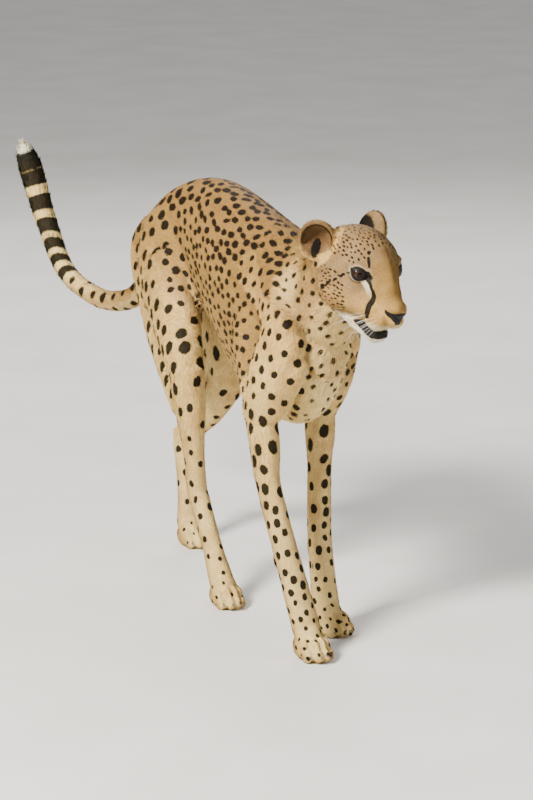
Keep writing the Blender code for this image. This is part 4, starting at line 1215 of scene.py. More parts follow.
@dataclass
class Markings:
    """Spots, rings and lines, worked out once and read by skin and coat alike."""

    fine: SkinMesh
    seed: int = SEED
    centre: Array = field(init=False)
    normal: Array = field(init=False)
    flow: Array = field(init=False)
    size: Array = field(init=False)
    face_lines: dict[int, list[tuple[Array, Array]]] = field(init=False)

    def __post_init__(self) -> None:
        """Scatter the spots over the fine skin with seeded darts and lay the face's lines on it."""
        self.face_lines = {sign: [(self.on_skin(path * vec(1, sign, 1)), widths)
                                  for path, widths in FACE_LINES] for sign in (-1, 1)}
        rng = np.random.default_rng(self.seed)
        mesh = self.fine
        spacing, along, across = spot_plan(Traits(mesh.points, mesh.normals, mesh.lie))
        gap = spacing[mesh.tris[:, 0]]
        weight = np.where(gap > 0, 1 / np.maximum(gap, 1e-3) ** 2, 0)
        spots = mesh.tris[mesh.pick(weight, rng.random(34_000)), 0]
        kept: list[int] = []
        places = np.zeros((len(spots), 3))
        gaps = np.zeros(len(spots))
        for vertex in spots:
            here, gap, n = mesh.points[vertex], spacing[vertex], len(kept)
            if gap <= 0:
                continue
            offset = places[:n] - here
            along_flow = offset @ mesh.lie.flow[vertex]
            distance = np.sqrt(np.maximum(np.sum(offset * offset, 1) - 0.40 * along_flow ** 2, 0))
            if n == 0 or np.all(distance > 0.5 * (gaps[:n] + gap) * 0.92):
                places[n], gaps[n] = here, gap
                kept.append(int(vertex))
        pick = np.array(kept)
        self.centre, self.normal = mesh.points[pick], mesh.normals[pick]
        tangent = np.cross(self.normal, mesh.lie.flow[pick])
        sway = rng.normal(0, 0.22, len(pick))[:, None]
        self.flow = unit(mesh.lie.flow[pick] * np.cos(sway) + tangent * np.sin(sway))
        grow = rng.uniform(0.86, 1.18, len(pick))[:, None]
        self.size = np.stack([along[pick], across[pick]], 1) * grow * rng.uniform(0.92, 1.10, (len(pick), 2))
        self.size *= self.room()[:, None]
        log.info("spots %d", len(pick))

    def room(self) -> Array:
        """Factor for each spot that keeps it clear of its neighbours.

        The distance to another spot is counted in this spot's own radii, along and across; where
        the smallest is under 2.25, the spot shrinks in proportion.
        """
        offset = self.centre[None] - self.centre[:, None]
        side = np.cross(self.normal, self.flow)
        count = np.hypot(np.einsum("ijk,ik->ij", offset, self.flow) / self.size[:, :1],
                         np.einsum("ijk,ik->ij", offset, side) / self.size[:, 1:])
        off = np.abs(np.einsum("ijk,ik->ij", offset, self.normal)) / self.size[:, :1]
        np.fill_diagonal(count, np.inf)
        return np.clip(np.min(np.maximum(count, off), axis=1) / 2.25, 0.55, 1.0)

    def spots(self, traits: Traits) -> Array:
        """Field of the spots: 1 in a spot's centre, 0 on its outline, below 0 outside."""
        grid = Grid(traits.points)
        out = np.full(len(traits.points), -1.0)
        for place, normal, flow, (along, across) in zip(self.centre, self.normal, self.flow, self.size):
            found = grid.near(place, 2.0 * max(along, across))
            offset = traits.points[found] - place
            side = np.cross(normal, flow)
            rise = offset @ normal
            a, b = (offset @ flow) / along, (offset @ side) / across
            value = 1 - (np.abs(a) ** 2.3 + np.abs(b) ** 2.3) ** (1 / 2.3)
            outside = (np.abs(rise) >= 2.0 * along) | (traits.normals[found] @ normal <= -0.2)
            value = np.where(outside, -1, value)
            out[found] = np.maximum(out[found], value)
        return out

    def on_skin(self, path: Array) -> Array:
        """A smooth head-space path through control points, each moved to the nearest skin point."""
        smooth = catmull(path, 5)
        skin = HEAD.into(self.fine.points)
        skin = skin[norm(skin - vec(0, 0, -0.03)) < 0.14]
        return skin[np.argmin(np.linalg.norm(smooth[:, None] - skin[None], axis=2), axis=1)]

    @staticmethod
    def band(points: Array, path: Array, widths: Array) -> Array:
        """Field of a line whose half width is read from evenly placed widths along it."""
        distance, place = along_polyline(points, path)
        total = float(np.sum(norm(np.diff(path, axis=0))))
        half = np.interp(place / total, np.linspace(0, 1, len(widths)), widths)
        return 1 - distance / half

    def face(self, traits: Traits) -> Array:
        """Field of the black lines of the face, in head space."""
        head = traits.head
        out = np.full(len(head), -1.0)
        near = norm(head - vec(0, 0, -0.02)) < 0.13
        h = head[near]
        value = out[near]
        for sign in (-1, 1):
            value = np.maximum.reduce([value, *(self.band(h, *line) for line in self.face_lines[sign])])
        value = np.maximum(value, 1 - lid_gap(h, 1.0) / 0.0042)
        out[near] = value
        return out

    def lips(self, traits: Traits) -> Array:
        """Field of the black lower lip, between the edge of the upper lip and the pale chin."""
        head = traits.head
        x, z = head[:, 0], head[:, 2]
        top = np.interp(x, [-0.0100, -0.0032, 0.0120, 0.0200, 0.0235, 0.0269, 0.0319, 0.0422, 0.0500, 0.0600],
                        [-0.0848, -0.0812, -0.0770, -0.0765, -0.0825,
                         -0.0880, -0.0892, -0.0878, -0.0850, -0.0800])
        low = np.interp(x, [-0.0100, -0.0012, 0.0120, 0.0200, 0.0300, 0.0411, 0.0492, 0.0550],
                        [-0.0860, -0.0886, -0.0938, -0.0990, -0.1036, -0.1036, -0.1024, -0.0990])
        value = np.minimum.reduce([(top - z) / 0.006, (z - low) / 0.006, (x + 0.0105) / 0.004])
        edge = np.minimum.reduce([along_polyline(head, mouth_path(sign))[0] for sign in (-1, 1)])
        value = np.maximum(value, 1 - edge / 0.0022)
        return np.where((norm(head - vec(0.03, 0, -0.08)) < 0.07), value, -1.0)

    def tail(self, traits: Traits) -> Array:
        """Field of the tail's rings, which widen to the tip, where the hair is white."""
        _, place = along_polyline(traits.points, TAIL_LINE)
        away = TAIL_LENGTH - place
        away = away + 0.010 * np.sin(traits.points @ vec(60.0, 25.0, 0.0)) * ease(0.10, 0.20, away)
        low, high = RINGS[:, 0], RINGS[:, 1]
        turn = np.arctan2(traits.normals[:, 0], traits.normals[:, 2])[:, None] - 2.4 * np.arange(len(RINGS))
        gap = ease(0.1, 0.8, np.cos(turn)) * ease(0.27, 0.31, low)
        value = np.max(np.minimum(away[:, None] - low, high - away[:, None]) / 0.008 - 1.8 * gap, axis=1)
        return np.where(away < 0.345, value, -1.0)

    def ears(self, traits: Traits) -> Array:
        """Field of the black on the ears: the black back of the ear, and painted shadow in the depth of the
        cup.
        """
        out = np.full(len(traits.head), -1.0)
        for ear in EARS.values():
            at = ear.into(traits.head)
            facing = (traits.normals @ HEAD.basis) @ ear.axes[:, 1]
            near = norm(at - vec(0, 0, 0.010)) < 0.046
            back = 1.10 - norm((at - vec(-0.007 * ear.side.value, -0.012, 0.010)) / vec(0.024, 0.05, 0.025))
            # Painted shadow: a dark core low in the ear's hollow, where shade falls.
            cup = 0.72 - norm((at - vec(-ear.side.value * 0.002, 0, -0.005)) / vec(0.0115, 0.05, 0.0200))
            value = np.where(facing < -0.15, back, np.where(facing > 0.1, cup, -1.0))
            out = np.where(near, value, out)
        return out

    def dark(self, traits: Traits) -> Array:
        """Greatest of all black fields."""
        out = self.spots(traits)
        tail = traits.in_region(Region.TAIL)
        if tail.any():
            rings = self.tail(traits)
            out = np.where(tail & (rings > -0.999), rings, out)
        if traits.in_region(Region.HEAD).any():
            out = np.maximum.reduce([out, self.face(traits), self.lips(traits), self.ears(traits)])
        return out

    def colour(self, traits: Traits) -> Array:
        """Ground colour of the hair."""
        out = self.body_colour(traits)
        out = np.where(traits.in_region(Region.HEAD)[:, None], self.face_colour(traits), out)
        return np.where(traits.in_region(Region.TAIL)[:, None], self.tail_colour(traits), out)

    @staticmethod
    def body_colour(traits: Traits) -> Array:
        """Ochre back, cream belly, pale legs and throat, and a cream patch on each side of the neck; the
        legs' paleness and the neck patch are partly painted sunlight.
        """
        p, n, high = traits.points, traits.normals, traits.height
        z = p[:, 2]
        top = blend(HAIR.tawny, HAIR.ochre, ease(0.55, 0.95, high))
        low = ease(0.26, 0.02, high) * 0.85 + 0.15 * ease(0.5, 0.2, high)
        out = blend(top, HAIR.cream, low)
        inner = ease(-0.1, 0.7, -n[:, 0] * np.sign(p[:, 0]))
        tan_from = np.where(traits.in_region(*HIND), 0.49, 0.54)
        leg = blend(HAIR.tawny, HAIR.tan, ease(0.74, tan_from, z))
        # The legs' paleness is their own paler hair, raised further as painted sunlight on the limbs.
        pale = 0.40 * ease(0.70, 0.46, z) + 0.50 * ease(0.40, 0.15, z)
        leg = blend(leg, HAIR.cream, np.maximum(pale, 0.8 * inner * ease(0.16, 0.30, z)))
        out = np.where(traits.in_region(*FORE, *HIND)[:, None], leg, out)
        front = ease(0.15, 0.75, -n[:, 1] * 0.6 - n[:, 2] * 0.9)
        throat = blend(HAIR.tawny, HAIR.cream, np.maximum(0.75 * front, 0.30 * ease(0.74, 0.62, z)))
        out = np.where(traits.in_region(Region.NECK)[:, None], throat, out)
        # A cream patch on each side of the neck: a pale ruff, and also a painted highlight where sunlight
        # falls.
        beside = np.stack([np.abs(p[:, 0]), p[:, 1], z], 1) - vec(0.055, -0.268, 0.680)
        return blend(out, HAIR.cream, 0.6 * ease(1.1, 0.3, norm(beside / vec(0.04, 0.042, 0.05))))

    def face_colour(self, traits: Traits) -> Array:
        """Face with white chin, jaw and lids, a dark line down its middle, and ear cups tinted brown and
        darkened by painted shade into their hollows.
        """
        n, head = traits.normals, traits.head
        x, w, u = head[:, 0], np.abs(head[:, 1]), head[:, 2]
        face = blend(HAIR.face, HAIR.tawny, ease(-0.002, 0.034, x))
        face = blend(face, HAIR.tan, ease(-0.015, -0.055, u) * 0.5)
        rise = 0.25 * np.clip(0.050 - x, 0, 0.03)
        lip = ease(-0.064, -0.074, u + rise) * ease(0.012, 0.026, x)
        chin = ease(-0.086, -0.094, u)
        jaw = ease(-0.070, -0.086, u) * ease(0.02, -0.02, x)
        face = blend(face, HAIR.white, np.maximum.reduce([0.62 * lip, 0.95 * chin, 0.85 * jaw]))
        shade = ease(1.2, 0.3, norm((head - vec(-0.050, 0, -0.046)) / vec(0.046, 1.0, 0.034)))
        face = blend(face, HAIR.brown * 2.2, 0.30 * shade)
        for lids in LIDS.values():
            sign = lids.side.value
            across, upward, reach = lids.flat(head)
            gap = lids.gap(across, upward)
            close = (reach < 0.030) & (x > -0.03)
            under = ease(0.0078, 0.0050, gap) * ease(0.002, -0.001, upward) * close
            over = ease(0.0072, 0.0048, gap) * ease(-0.001, 0.002, upward) * close
            tear_line = self.face_lines[sign][0][0]
            away, place = along_polyline(head - vec(-0.0050, sign * 0.0062, 0), tear_line)
            span = ease(0.006, 0.012, place) * ease(0.050, 0.030, place)
            beside = ease(0.0085, 0.0035, away) * span
            share = np.maximum.reduce([0.72 * under, 0.22 * over, 0.80 * beside])
            face = blend(face, HAIR.white, share)
        streak = bell(w, 0.0030) * ease(0.050, 0.040, x) * ease(-0.010, 0.006, x) * (u > -0.02)
        face = blend(face, HAIR.brown, 0.62 * streak)
        ears = ear_gap(head)
        rim = ease(0.028, 0.036, ears) * (ears < 0.05)
        # Ear cups: an even brown tint on the open side, deepened by painted shade towards the depth of the
        # hollow.
        cup = np.zeros(len(head))
        for ear in EARS.values():
            at = ear.into(head)
            depth = norm((at - vec(-ear.side.value * 0.002, 0, -0.001)) / vec(0.0125, 0.05, 0.0195))
            open_side = ease(0.0, 0.4, (n @ HEAD.basis) @ ear.axes[:, 1])
            cup = np.maximum(cup, open_side * (norm(at - vec(0, 0, 0.014)) < 0.034)
                             * (0.30 + 0.50 * ease(1.8, 0.7, depth)))
        face = blend(face, HAIR.brown * 1.1, cup)
        return blend(face, HAIR.tan, 0.8 * rim)

    @staticmethod
    def tail_colour(traits: Traits) -> Array:
        """Tawny root, cream half with the rings, white tip."""
        away = TAIL_LENGTH - along_polyline(traits.points, TAIL_LINE)[1]
        under = ease(0.2, -0.6, traits.normals[:, 2])
        colour = blend(HAIR.tawny, HAIR.cream, np.maximum(ease(0.62, 0.28, away), 0.7 * under))
        return blend(colour, HAIR.white, ease(0.06, 0.02, away))


# ---- materials
class Wire:
    """An output socket; arithmetic on it adds Math nodes."""

    def __init__(self, graph: "Graph", socket: Any) -> None:
        """Wrap a socket that belongs to graph."""
        self.graph = graph
        self.socket = socket

    def _math(self, operation: str, *others: Any, first: bool = True) -> "Wire":
        """One Math node with this wire first, or last when first is False."""
        values = [self, *others] if first else [*others, self]
        return self.graph.wire("ShaderNodeMath", {"operation": operation}, dict(enumerate(values)))

    def __add__(self, other: Any) -> "Wire":
        """self + other"""
        return self._math("ADD", other)

    __radd__ = __add__

    def __sub__(self, other: Any) -> "Wire":
        """self - other"""
        return self._math("SUBTRACT", other)

    def __rsub__(self, other: Any) -> "Wire":
        """other - self"""
        return self._math("SUBTRACT", other, first=False)

    def __mul__(self, other: Any) -> "Wire":
        """self * other"""
        return self._math("MULTIPLY", other)

    __rmul__ = __mul__

    def __truediv__(self, other: Any) -> "Wire":
        """self / other"""
        return self._math("DIVIDE", other)

    def __rtruediv__(self, other: Any) -> "Wire":
        """other / self"""
        return self._math("DIVIDE", other, first=False)

    def sine(self) -> "Wire":
        """Sine of the value in radians."""
        return self._math("SINE")

    def step(self, low: float, high: float) -> "Wire":
        """0 below low, 1 above high, smooth between."""
        return self.graph.wire("ShaderNodeMapRange", {"interpolation_type": "SMOOTHSTEP"},
                               {"Value": self, "From Min": low, "From Max": high})


class Graph:
    """A material whose nodes are being wired."""

    def __init__(self, name: str) -> None:
        """Make the material with one Principled shader."""
        self.material = bpy.data.materials.new(name)
        self.material.use_nodes = True
        self.tree = self.material.node_tree
        self.shader = next(n for n in self.tree.nodes if n.type == "BSDF_PRINCIPLED")

    def wire(self, kind: str, settings: Optional[dict] = None, sockets: Optional[dict] = None,
             output: Any = 0) -> Wire:
        """One output of a new node with its settings, and its sockets set or wired."""
        node = self.tree.nodes.new(kind)
        for key, value in (settings or {}).items():
            setattr(node, key, value)
        for key, value in (sockets or {}).items():
            self.feed(node.inputs[key], value)
        return Wire(self, node.outputs[output])

    def feed(self, socket: Any, value: Any) -> None:
        """Wire a Wire into a socket, or set the socket's own value."""
        if isinstance(value, Wire):
            self.tree.links.new(value.socket, socket)
        elif isinstance(value, np.ndarray):
            opaque = (1.0,) if len(socket.default_value) == 4 else ()
            socket.default_value = (*(float(v) for v in value), *opaque)
        else:
            socket.default_value = value

    def attribute(self, name: str, output: str = "Fac") -> Wire:
        """A vertex attribute as a wire."""
        return self.wire("ShaderNodeAttribute", {"attribute_name": name}, output=output)

    def place(self) -> Wire:
        """Object coordinates."""
        return self.wire("ShaderNodeTexCoord", output="Object")

    def stretched(self, scale: tuple[float, float, float]) -> Wire:
        """Object coordinates scaled by axis."""
        return self.wire("ShaderNodeVectorMath", {"operation": "MULTIPLY"}, {0: self.place(), 1: scale})

    def noise(self, scale: float, detail: float = 3.0, place: Optional[Wire] = None,
              rough: float = 0.5) -> Wire:
        """Noise of 0..1 in object coordinates."""
        return self.wire("ShaderNodeTexNoise", None, {"Vector": place or self.place(), "Scale": scale,
                                                      "Detail": detail, "Roughness": rough}, "Fac")

    def mix(self, share: Any, a: Any, b: Any, blend_type: str = "MIX") -> Wire:
        """Colour a where share is 0 and b where it is 1."""
        return self.wire("ShaderNodeMix", {"data_type": "RGBA", "blend_type": blend_type},
                         {0: share, 6: a, 7: b}, 2)

    def bump(self, height: Wire, strength: float, distance: float) -> Wire:
        """A bumped normal from a height."""
        return self.wire("ShaderNodeBump", None,
                         {"Height": height, "Strength": strength, "Distance": distance})

    def finish(self, **sockets: Any) -> Material:
        """Set or wire the shader's sockets; underscores stand for spaces."""
        for key, value in sockets.items():
            self.feed(self.shader.inputs[key.replace("_", " ")], value)
        return self.material


@dataclass(frozen=True)
class CoatFinish:
    """Hair and skin: ground colour with black markings."""

    name: str
    roughness: float = 0.62
    edge: float = 0.08
    fray: float = 0.20
    bump: float = 0.0

    def build(self) -> Material:
        """Wires attribute colours, markings with a frayed edge, and fine hair noise."""
        graph = Graph(self.name)
        tone = graph.noise(38.0, 4.0)
        fine = graph.noise(900.0, 2.0)
        ground = graph.mix(tone.step(0.30, 0.72) * 0.30, graph.attribute("Coat", "Color"), HAIR.russet,
                           "MULTIPLY")
        ground = graph.mix(fine * 0.35, ground, HAIR.cream, "OVERLAY")
        field_value = graph.attribute("Spot") + (graph.noise(260.0, 3.0) - 0.5) * self.fray
        share = field_value.step(-self.edge, self.edge)
        dark = graph.mix(fine.step(0.35, 0.75), HAIR.black, HAIR.black * 1.6)
        sockets = {"Base_Color": graph.mix(share * 0.97, ground, dark),
                   "Roughness": self.roughness + (tone - 0.5) * 0.16, "Specular_IOR_Level": 0.09}
        if self.bump:
            sockets["Normal"] = graph.bump(graph.noise(700.0, 3.0), self.bump, 0.0012)
        return graph.finish(**sockets)


@dataclass(frozen=True)
class EyeFinish:
    """Cornea gloss over an amber iris with a round pupil; lengths in millimetres."""

    name: str = "eye_glass"
    pupil: float = 4.8
    iris: float = 10.6

    def build(self) -> Material:
        """Wires rings of colour by the distance from the pupil's centre."""
        graph = Graph(self.name)
        reach = graph.attribute("Reach")
        turn = graph.attribute("Turn")
        rays = graph.noise(1.0, 3.0, graph.wire("ShaderNodeCombineXYZ", None, {
            0: (turn * 9.0).sine() * 3.0, 1: (turn * 7.0 + 1.3).sine() * 3.0, 2: reach * 0.16}))
        amber = graph.mix(rays.step(0.30, 0.72), linear(38, 20, 11), linear(74, 42, 20))
        amber = graph.mix((reach / self.iris).step(0.72, 1.0), amber, linear(20, 11, 7))
        amber = graph.mix((reach / self.iris).step(0.56, 0.40) * 0.5, amber, linear(64, 34, 16))
        white = graph.mix(graph.noise(300.0).step(0.3, 0.8), linear(34, 24, 20), linear(56, 42, 34))
        colour = graph.mix(reach.step(self.iris - 0.5, self.iris + 0.35), amber, white)
        colour = graph.mix(reach.step(self.pupil + 0.3, self.pupil - 0.25), colour, linear(6, 5, 5))
        return graph.finish(Base_Color=colour, Roughness=0.20 + graph.noise(200.0) * 0.06, Coat_Weight=0.16,
                            Coat_Roughness=0.03, Specular_IOR_Level=0.12)


@dataclass(frozen=True)
class LeatherFinish:
    """Moist dark skin of nose and lids, with fine pebbling."""

    name: str
    base: Array
    light: Array
    roughness: float = 0.42
    pebble: float = 900.0
    depth: float = 0.0005

    def build(self) -> Material:
        """Wires Voronoi pebbles into roughness and bump, and a cloud noise into colour."""
        graph = Graph(self.name)
        cells = graph.wire("ShaderNodeTexVoronoi", None, {"Vector": graph.place(), "Scale": self.pebble})
        cloud = graph.noise(120.0, 3.0)
        colour = graph.mix(cloud.step(0.35, 0.75), self.base, self.light)
        return graph.finish(Base_Color=colour, Roughness=self.roughness + (cells - 0.4) * 0.25,
                            Specular_IOR_Level=0.22, Normal=graph.bump(cells + cloud * 0.5, 0.5, self.depth))


@dataclass(frozen=True)
class HornFinish:
    """Claw horn: streaked dark and pale."""

    name: str = "claw_horn"

    def build(self) -> Material:
        """Wires lengthwise streaks into colour and roughness."""
        graph = Graph(self.name)
        streak = graph.noise(60.0, 4.0, graph.stretched((12.0, 1.5, 8.0)))
        colour = graph.mix(streak.step(0.30, 0.72), linear(46, 36, 30), linear(132, 112, 92))
        return graph.finish(Base_Color=colour, Roughness=0.30 + streak * 0.25, Coat_Weight=0.25,
                            Normal=graph.bump(streak, 0.3, 0.0004))


@dataclass(frozen=True)
class WhiskerFinish:
    """White bristle, greyer at the root."""

    name: str = "whisker_white"

    def build(self) -> Material:
        """Wires the place along the hair into colour and roughness."""
        graph = Graph(self.name)
        along = graph.attribute("Along")
        colour = graph.mix(along.step(0.0, 0.25), linear(150, 138, 120), linear(246, 243, 236))
        colour = graph.mix(graph.noise(400.0) * 0.3, colour, linear(214, 202, 184))
        return graph.finish(Base_Color=colour, Roughness=0.34 + along * 0.1)


@dataclass(frozen=True)
class FloorFinish:
    """Plain pale studio floor with a faint mottling."""

    name: str = "studio_floor"

    def build(self) -> Material:
        """Wires low noise into colour and roughness."""
        graph = Graph(self.name)
        cloud = graph.noise(3.0, 3.0)
        colour = graph.mix(cloud.step(0.25, 0.75), linear(222, 219, 213), linear(230, 228, 223))
        return graph.finish(Base_Color=colour, Roughness=0.75 + cloud * 0.1)


# ---- the coat
@dataclass
class CoatPiece:
    """The tufts of one region as a single mesh.

    A tuft is a leaf of four corners: root, left, tip and right, folded along its length and
    bent towards the skin at its tip.
    """

    region: Region
    fine: SkinMesh
    markings: Markings
    seed: int

    def roots(self, count: int, rng: np.random.Generator) -> tuple[Array, Array]:
        """Triangles and barycentric shares of evenly strewn roots in this region."""
        mesh = self.fine
        here = mesh.lie.region[mesh.tris[:, 0]] == list(Region).index(self.region)
        centres = mesh.points[mesh.tris].mean(1)
        weight = here * self.density(centres, mesh.normals[mesh.tris[:, 0]])
        pick = mesh.pick(weight, (np.arange(count) + rng.random(count)) / count)
        a, b = rng.random(count), rng.random(count)
        flip = a + b > 1
        a, b = np.where(flip, 1 - a, a), np.where(flip, 1 - b, b)
        return pick, np.stack([1 - a - b, a, b], 1)

    def density(self, points: Array, normals: Array) -> Array:
        """Roots per area, relative: more where the hair is short."""
        length, _, _ = self.measure(points, normals)
        return (0.012 / length) ** 1.5

    def measure(self, points: Array, normals: Array) -> tuple[Array, Array, Array]:
        """Length, width and lift of the tufts at places on the skin.

        Args:
            points: places in body space.
            normals: their normals.

        Returns:
            Length and width in metres and lift in radians.
        """
        growth = COATS[self.region]
        ones = np.ones(len(points))
        length, lift = growth.length * ones, math.radians(growth.lift) * ones
        z, y = points[:, 2], points[:, 1]
        if self.region in TRUNK:
            low = ease(0.20, -0.7, normals[:, 2]) * ease(0.56, 0.46, z)
            length = length * (1 + 0.25 * low)
            mane = ease(0.690, 0.735, z) * ease(-0.02, -0.16, y)
            length, lift = length * (1 + 0.35 * mane), lift * (1 + 0.5 * mane)
        elif self.region in FORE + HIND:
            length = length * (1 - 0.34 * ease(0.38, 0.24, z) - 0.18 * ease(0.12, 0.06, z))
        elif self.region is Region.NECK:
            low = ease(0.1, -0.7, normals[:, 2] + 0.4 * normals[:, 1])
            length, lift = length * (0.85 + 0.15 * low), lift * 0.8
        elif self.region is Region.TAIL:
            _, place = along_polyline(points, TAIL_CORE)
            length = length * (0.85 + 0.60 * ease(0.35, 0.85, place))
        else:
            length, lift = self.on_head(points, normals)
        width = growth.width * (length / growth.length) ** 0.6
        return length, width, lift

    def on_head(self, points: Array, normals: Array) -> tuple[Array, Array]:
        """Length and lift on the head: shortest on muzzle and lids, longest on jaw and cheeks."""
        head = HEAD.into(points)
        x, u = head[:, 0], head[:, 2]
        length = 0.0036 + 0.0058 * ease(0.030, -0.090, x)
        length = length + 0.0045 * ease(-0.055, -0.095, u) * ease(0.03, -0.06, x)
        length = length + 0.0020 * ease(-0.080, -0.094, u)
        lift = math.radians(13) * np.ones(len(x))
        for lids in LIDS.values():
            close = norm(head - lids.centre)
            length = np.minimum(length, 0.0022 + 0.10 * np.maximum(close - 0.022, 0))
        for ear in EARS.values():
            at = ear.into(head)
            near = norm(at - vec(0, 0, 0.014)) < 0.044
            facing = (normals @ HEAD.basis) @ ear.axes[:, 1]
            inside = near & (facing > 0.25) & (norm(at - vec(0, 0, 0.010)) < 0.034)
            length = np.where(near, np.where(inside, 0.0065, 0.0027), length)
            lift = np.where(inside, math.radians(20), np.where(near, math.radians(6), lift))
        return length, lift

    def allowed(self, traits: Traits) -> Array:
        """Which roots may bear hair: not in the eyes, on the nose pad or soles."""
        head = traits.head
        free = np.ones(len(head), bool)
        for lids in LIDS.values():
            u, v, reach = lids.flat(head)
            free &= ~((lids.gap(u, v) < 0.0016) & (reach < 0.030) & (head[:, 0] > -0.01))
        pad = NosePad()
        wide = np.abs(head[:, 1]) / pad.half_width
        over = head[:, 2] - pad.height - np.interp(wide, pad.across, pad.top)
        below = pad.height + np.interp(wide, pad.across, pad.bottom) - head[:, 2]
        free &= (np.maximum(over, below) > -0.0010) | (wide > 0.98) | (head[:, 0] < 0.045)
        free &= ~((traits.points[:, 2] < 0.004) & (traits.normals[:, 2] < -0.6))
        return free

    def build(self) -> Thing:
        """Make the piece with its colours, markings, normals and map of roots."""
        rng = np.random.default_rng(self.seed)
        count = COATS[self.region].tufts // 1
        pick, share = self.roots(count, rng)
        mesh = self.fine
        corner = mesh.tris[pick]
        mixed = lambda values: np.einsum("nk,nkc->nc", share, values[corner])
        points, normals, flow = mixed(mesh.points), unit(mixed(mesh.normals)), mixed(mesh.lie.flow)
        if self.region is not Region.TAIL:  # the tail's end hair stands off its tip
            flow = laid(flow, normals)
        flow = unit(flow)
        nearest = corner[np.arange(len(corner)), np.argmax(share, 1)]
        region, bone = mesh.lie.region[nearest], mesh.lie.bone[nearest]
        keep = self.allowed(Traits(points, normals, Lie(region, bone, flow)))
        points, normals, flow = points[keep], normals[keep], flow[keep]
        traits = Traits(points, normals, Lie(region[keep], bone[keep], flow))
        ground = self.markings.colour(traits)
        length, width, lift = self.measure(points, normals)
        n = len(points)
        length = length * rng.uniform(0.72, 1.22, n)
        width = width * rng.uniform(0.75, 1.25, n)
        lift = np.maximum(lift * (1 + rng.normal(0, 0.30, n)), math.radians(3))
        sway = rng.normal(0, 0.20, n)[:, None]
        side = np.cross(normals, flow)
        ahead = unit(flow * np.cos(sway) + side * np.sin(sway))
        side = np.cross(normals, ahead)
        rise = np.sin(lift)[:, None] * length[:, None]
        run = np.cos(lift)[:, None] * length[:, None]
        curl = rng.normal(0, 0.05, n)[:, None] * length[:, None]
        dark = self.dark_along(traits, ahead * run)
        root = points - normals * 0.0005
        middle = points + ahead * run * 0.52 + normals * rise * 0.66
        fold = normals * (width * 0.16)[:, None]
        left = middle - side * (width * 0.5)[:, None] - fold
        right = middle + side * (width * 0.5)[:, None] - fold
        tip = points + ahead * run + normals * rise * 0.92 + side * curl
        corners = np.stack([root, left, tip, right], 1).reshape(-1, 3)
        base = np.arange(n)[:, None] * 4
        tris = np.concatenate([base + [0, 1, 2], base + [0, 2, 3]], 1).reshape(-1, 3)
        thing = make_object(f"coat_{self.region.value}", Surface(corners, tris=tris))
        self.dress(thing, traits, dark, ground, normals, side, ahead, rng)
        return thing

    def dark_along(self, traits: Traits, reach: Array) -> Array:
        """Black field at the root, middle and tip of each tuft, as three columns."""
        columns = []
        for share in (0.0, 0.5, 0.95):
            there = Traits(traits.points + reach * share, traits.normals, traits.lie)
            columns.append(self.markings.dark(there))
        return np.stack(columns, 1)

    def dress(self, thing: Thing, traits: Traits, dark: Array, ground: Array, normals: Array,
              side: Array, ahead: Array, rng: np.random.Generator) -> None:
        """Store colours, markings, normals and the map of roots."""
        n = len(normals)
        tone = np.exp(rng.normal(0, 0.20 if self.region is Region.HEAD else 0.12, n))[:, None, None]
        warm = rng.normal(0, 0.03, n)[:, None]
        tint = ground * np.concatenate([1 + warm, np.ones((n, 1)), 1 - warm], 1)
        # Each leaf darkens towards its root as painted shade under the overlying hair, and pales at its tip.
        along = np.array([0.70, 0.98, 1.18, 0.98])[None, :, None]
        set_values(thing.data, "Coat", np.clip(tint[:, None, :] * along * tone, 0, 1).reshape(-1, 3))
        field_value = dark + rng.normal(0, 0.05, n)[:, None]
        set_values(thing.data, "Spot", field_value[:, [0, 1, 2, 1]].ravel())
        root, left = 0.38 * unit(normals - 0.3 * ahead), 0.30 * normals - 0.34 * side
        tip, right = 0.38 * unit(normals + 0.4 * ahead), 0.30 * normals + 0.34 * side
        shade = 0.62 * normals[:, None] + np.stack([root, left, tip, right], 1)
        thing.data.normals_split_custom_set_from_vertices(unit(shade).reshape(-1, 3))
        self.map_roots(thing, traits)

    def map_roots(self, thing: Thing, traits: Traits) -> None:
        """Give each tuft a small patch of the map at its root's place on the region's unwrap.

        The unwrap is a cylinder about the long axis of the region's roots: u is the angle about
        that axis and v the length along it, each scaled to 0..1.
        """
        points = traits.points
        middle = points.mean(0)
        _, _, axes = np.linalg.svd((points - middle)[:: max(1, len(points) // 4000)], full_matrices=False)
        local = (points - middle) @ axes.T
        u = np.arctan2(local[:, 2], local[:, 1]) / (2 * math.pi) + 0.5
        v = (local[:, 0] - local[:, 0].min()) / np.ptp(local[:, 0])
        patch = 0.003
        centre = np.stack([u, v], 1) * (1 - 2 * patch) + patch
        offset = np.array([(0, -0.5), (-0.5, 0), (0, 0.5), (0.5, 0)]) * patch
        corner_uv = centre[:, None, :] + offset
        order = np.array([0, 1, 2, 0, 2, 3])
        layer = thing.data.uv_layers.new(name="OFBake")
        layer.data.foreach_set("uv", corner_uv[:, order].astype(np.float32).ravel())


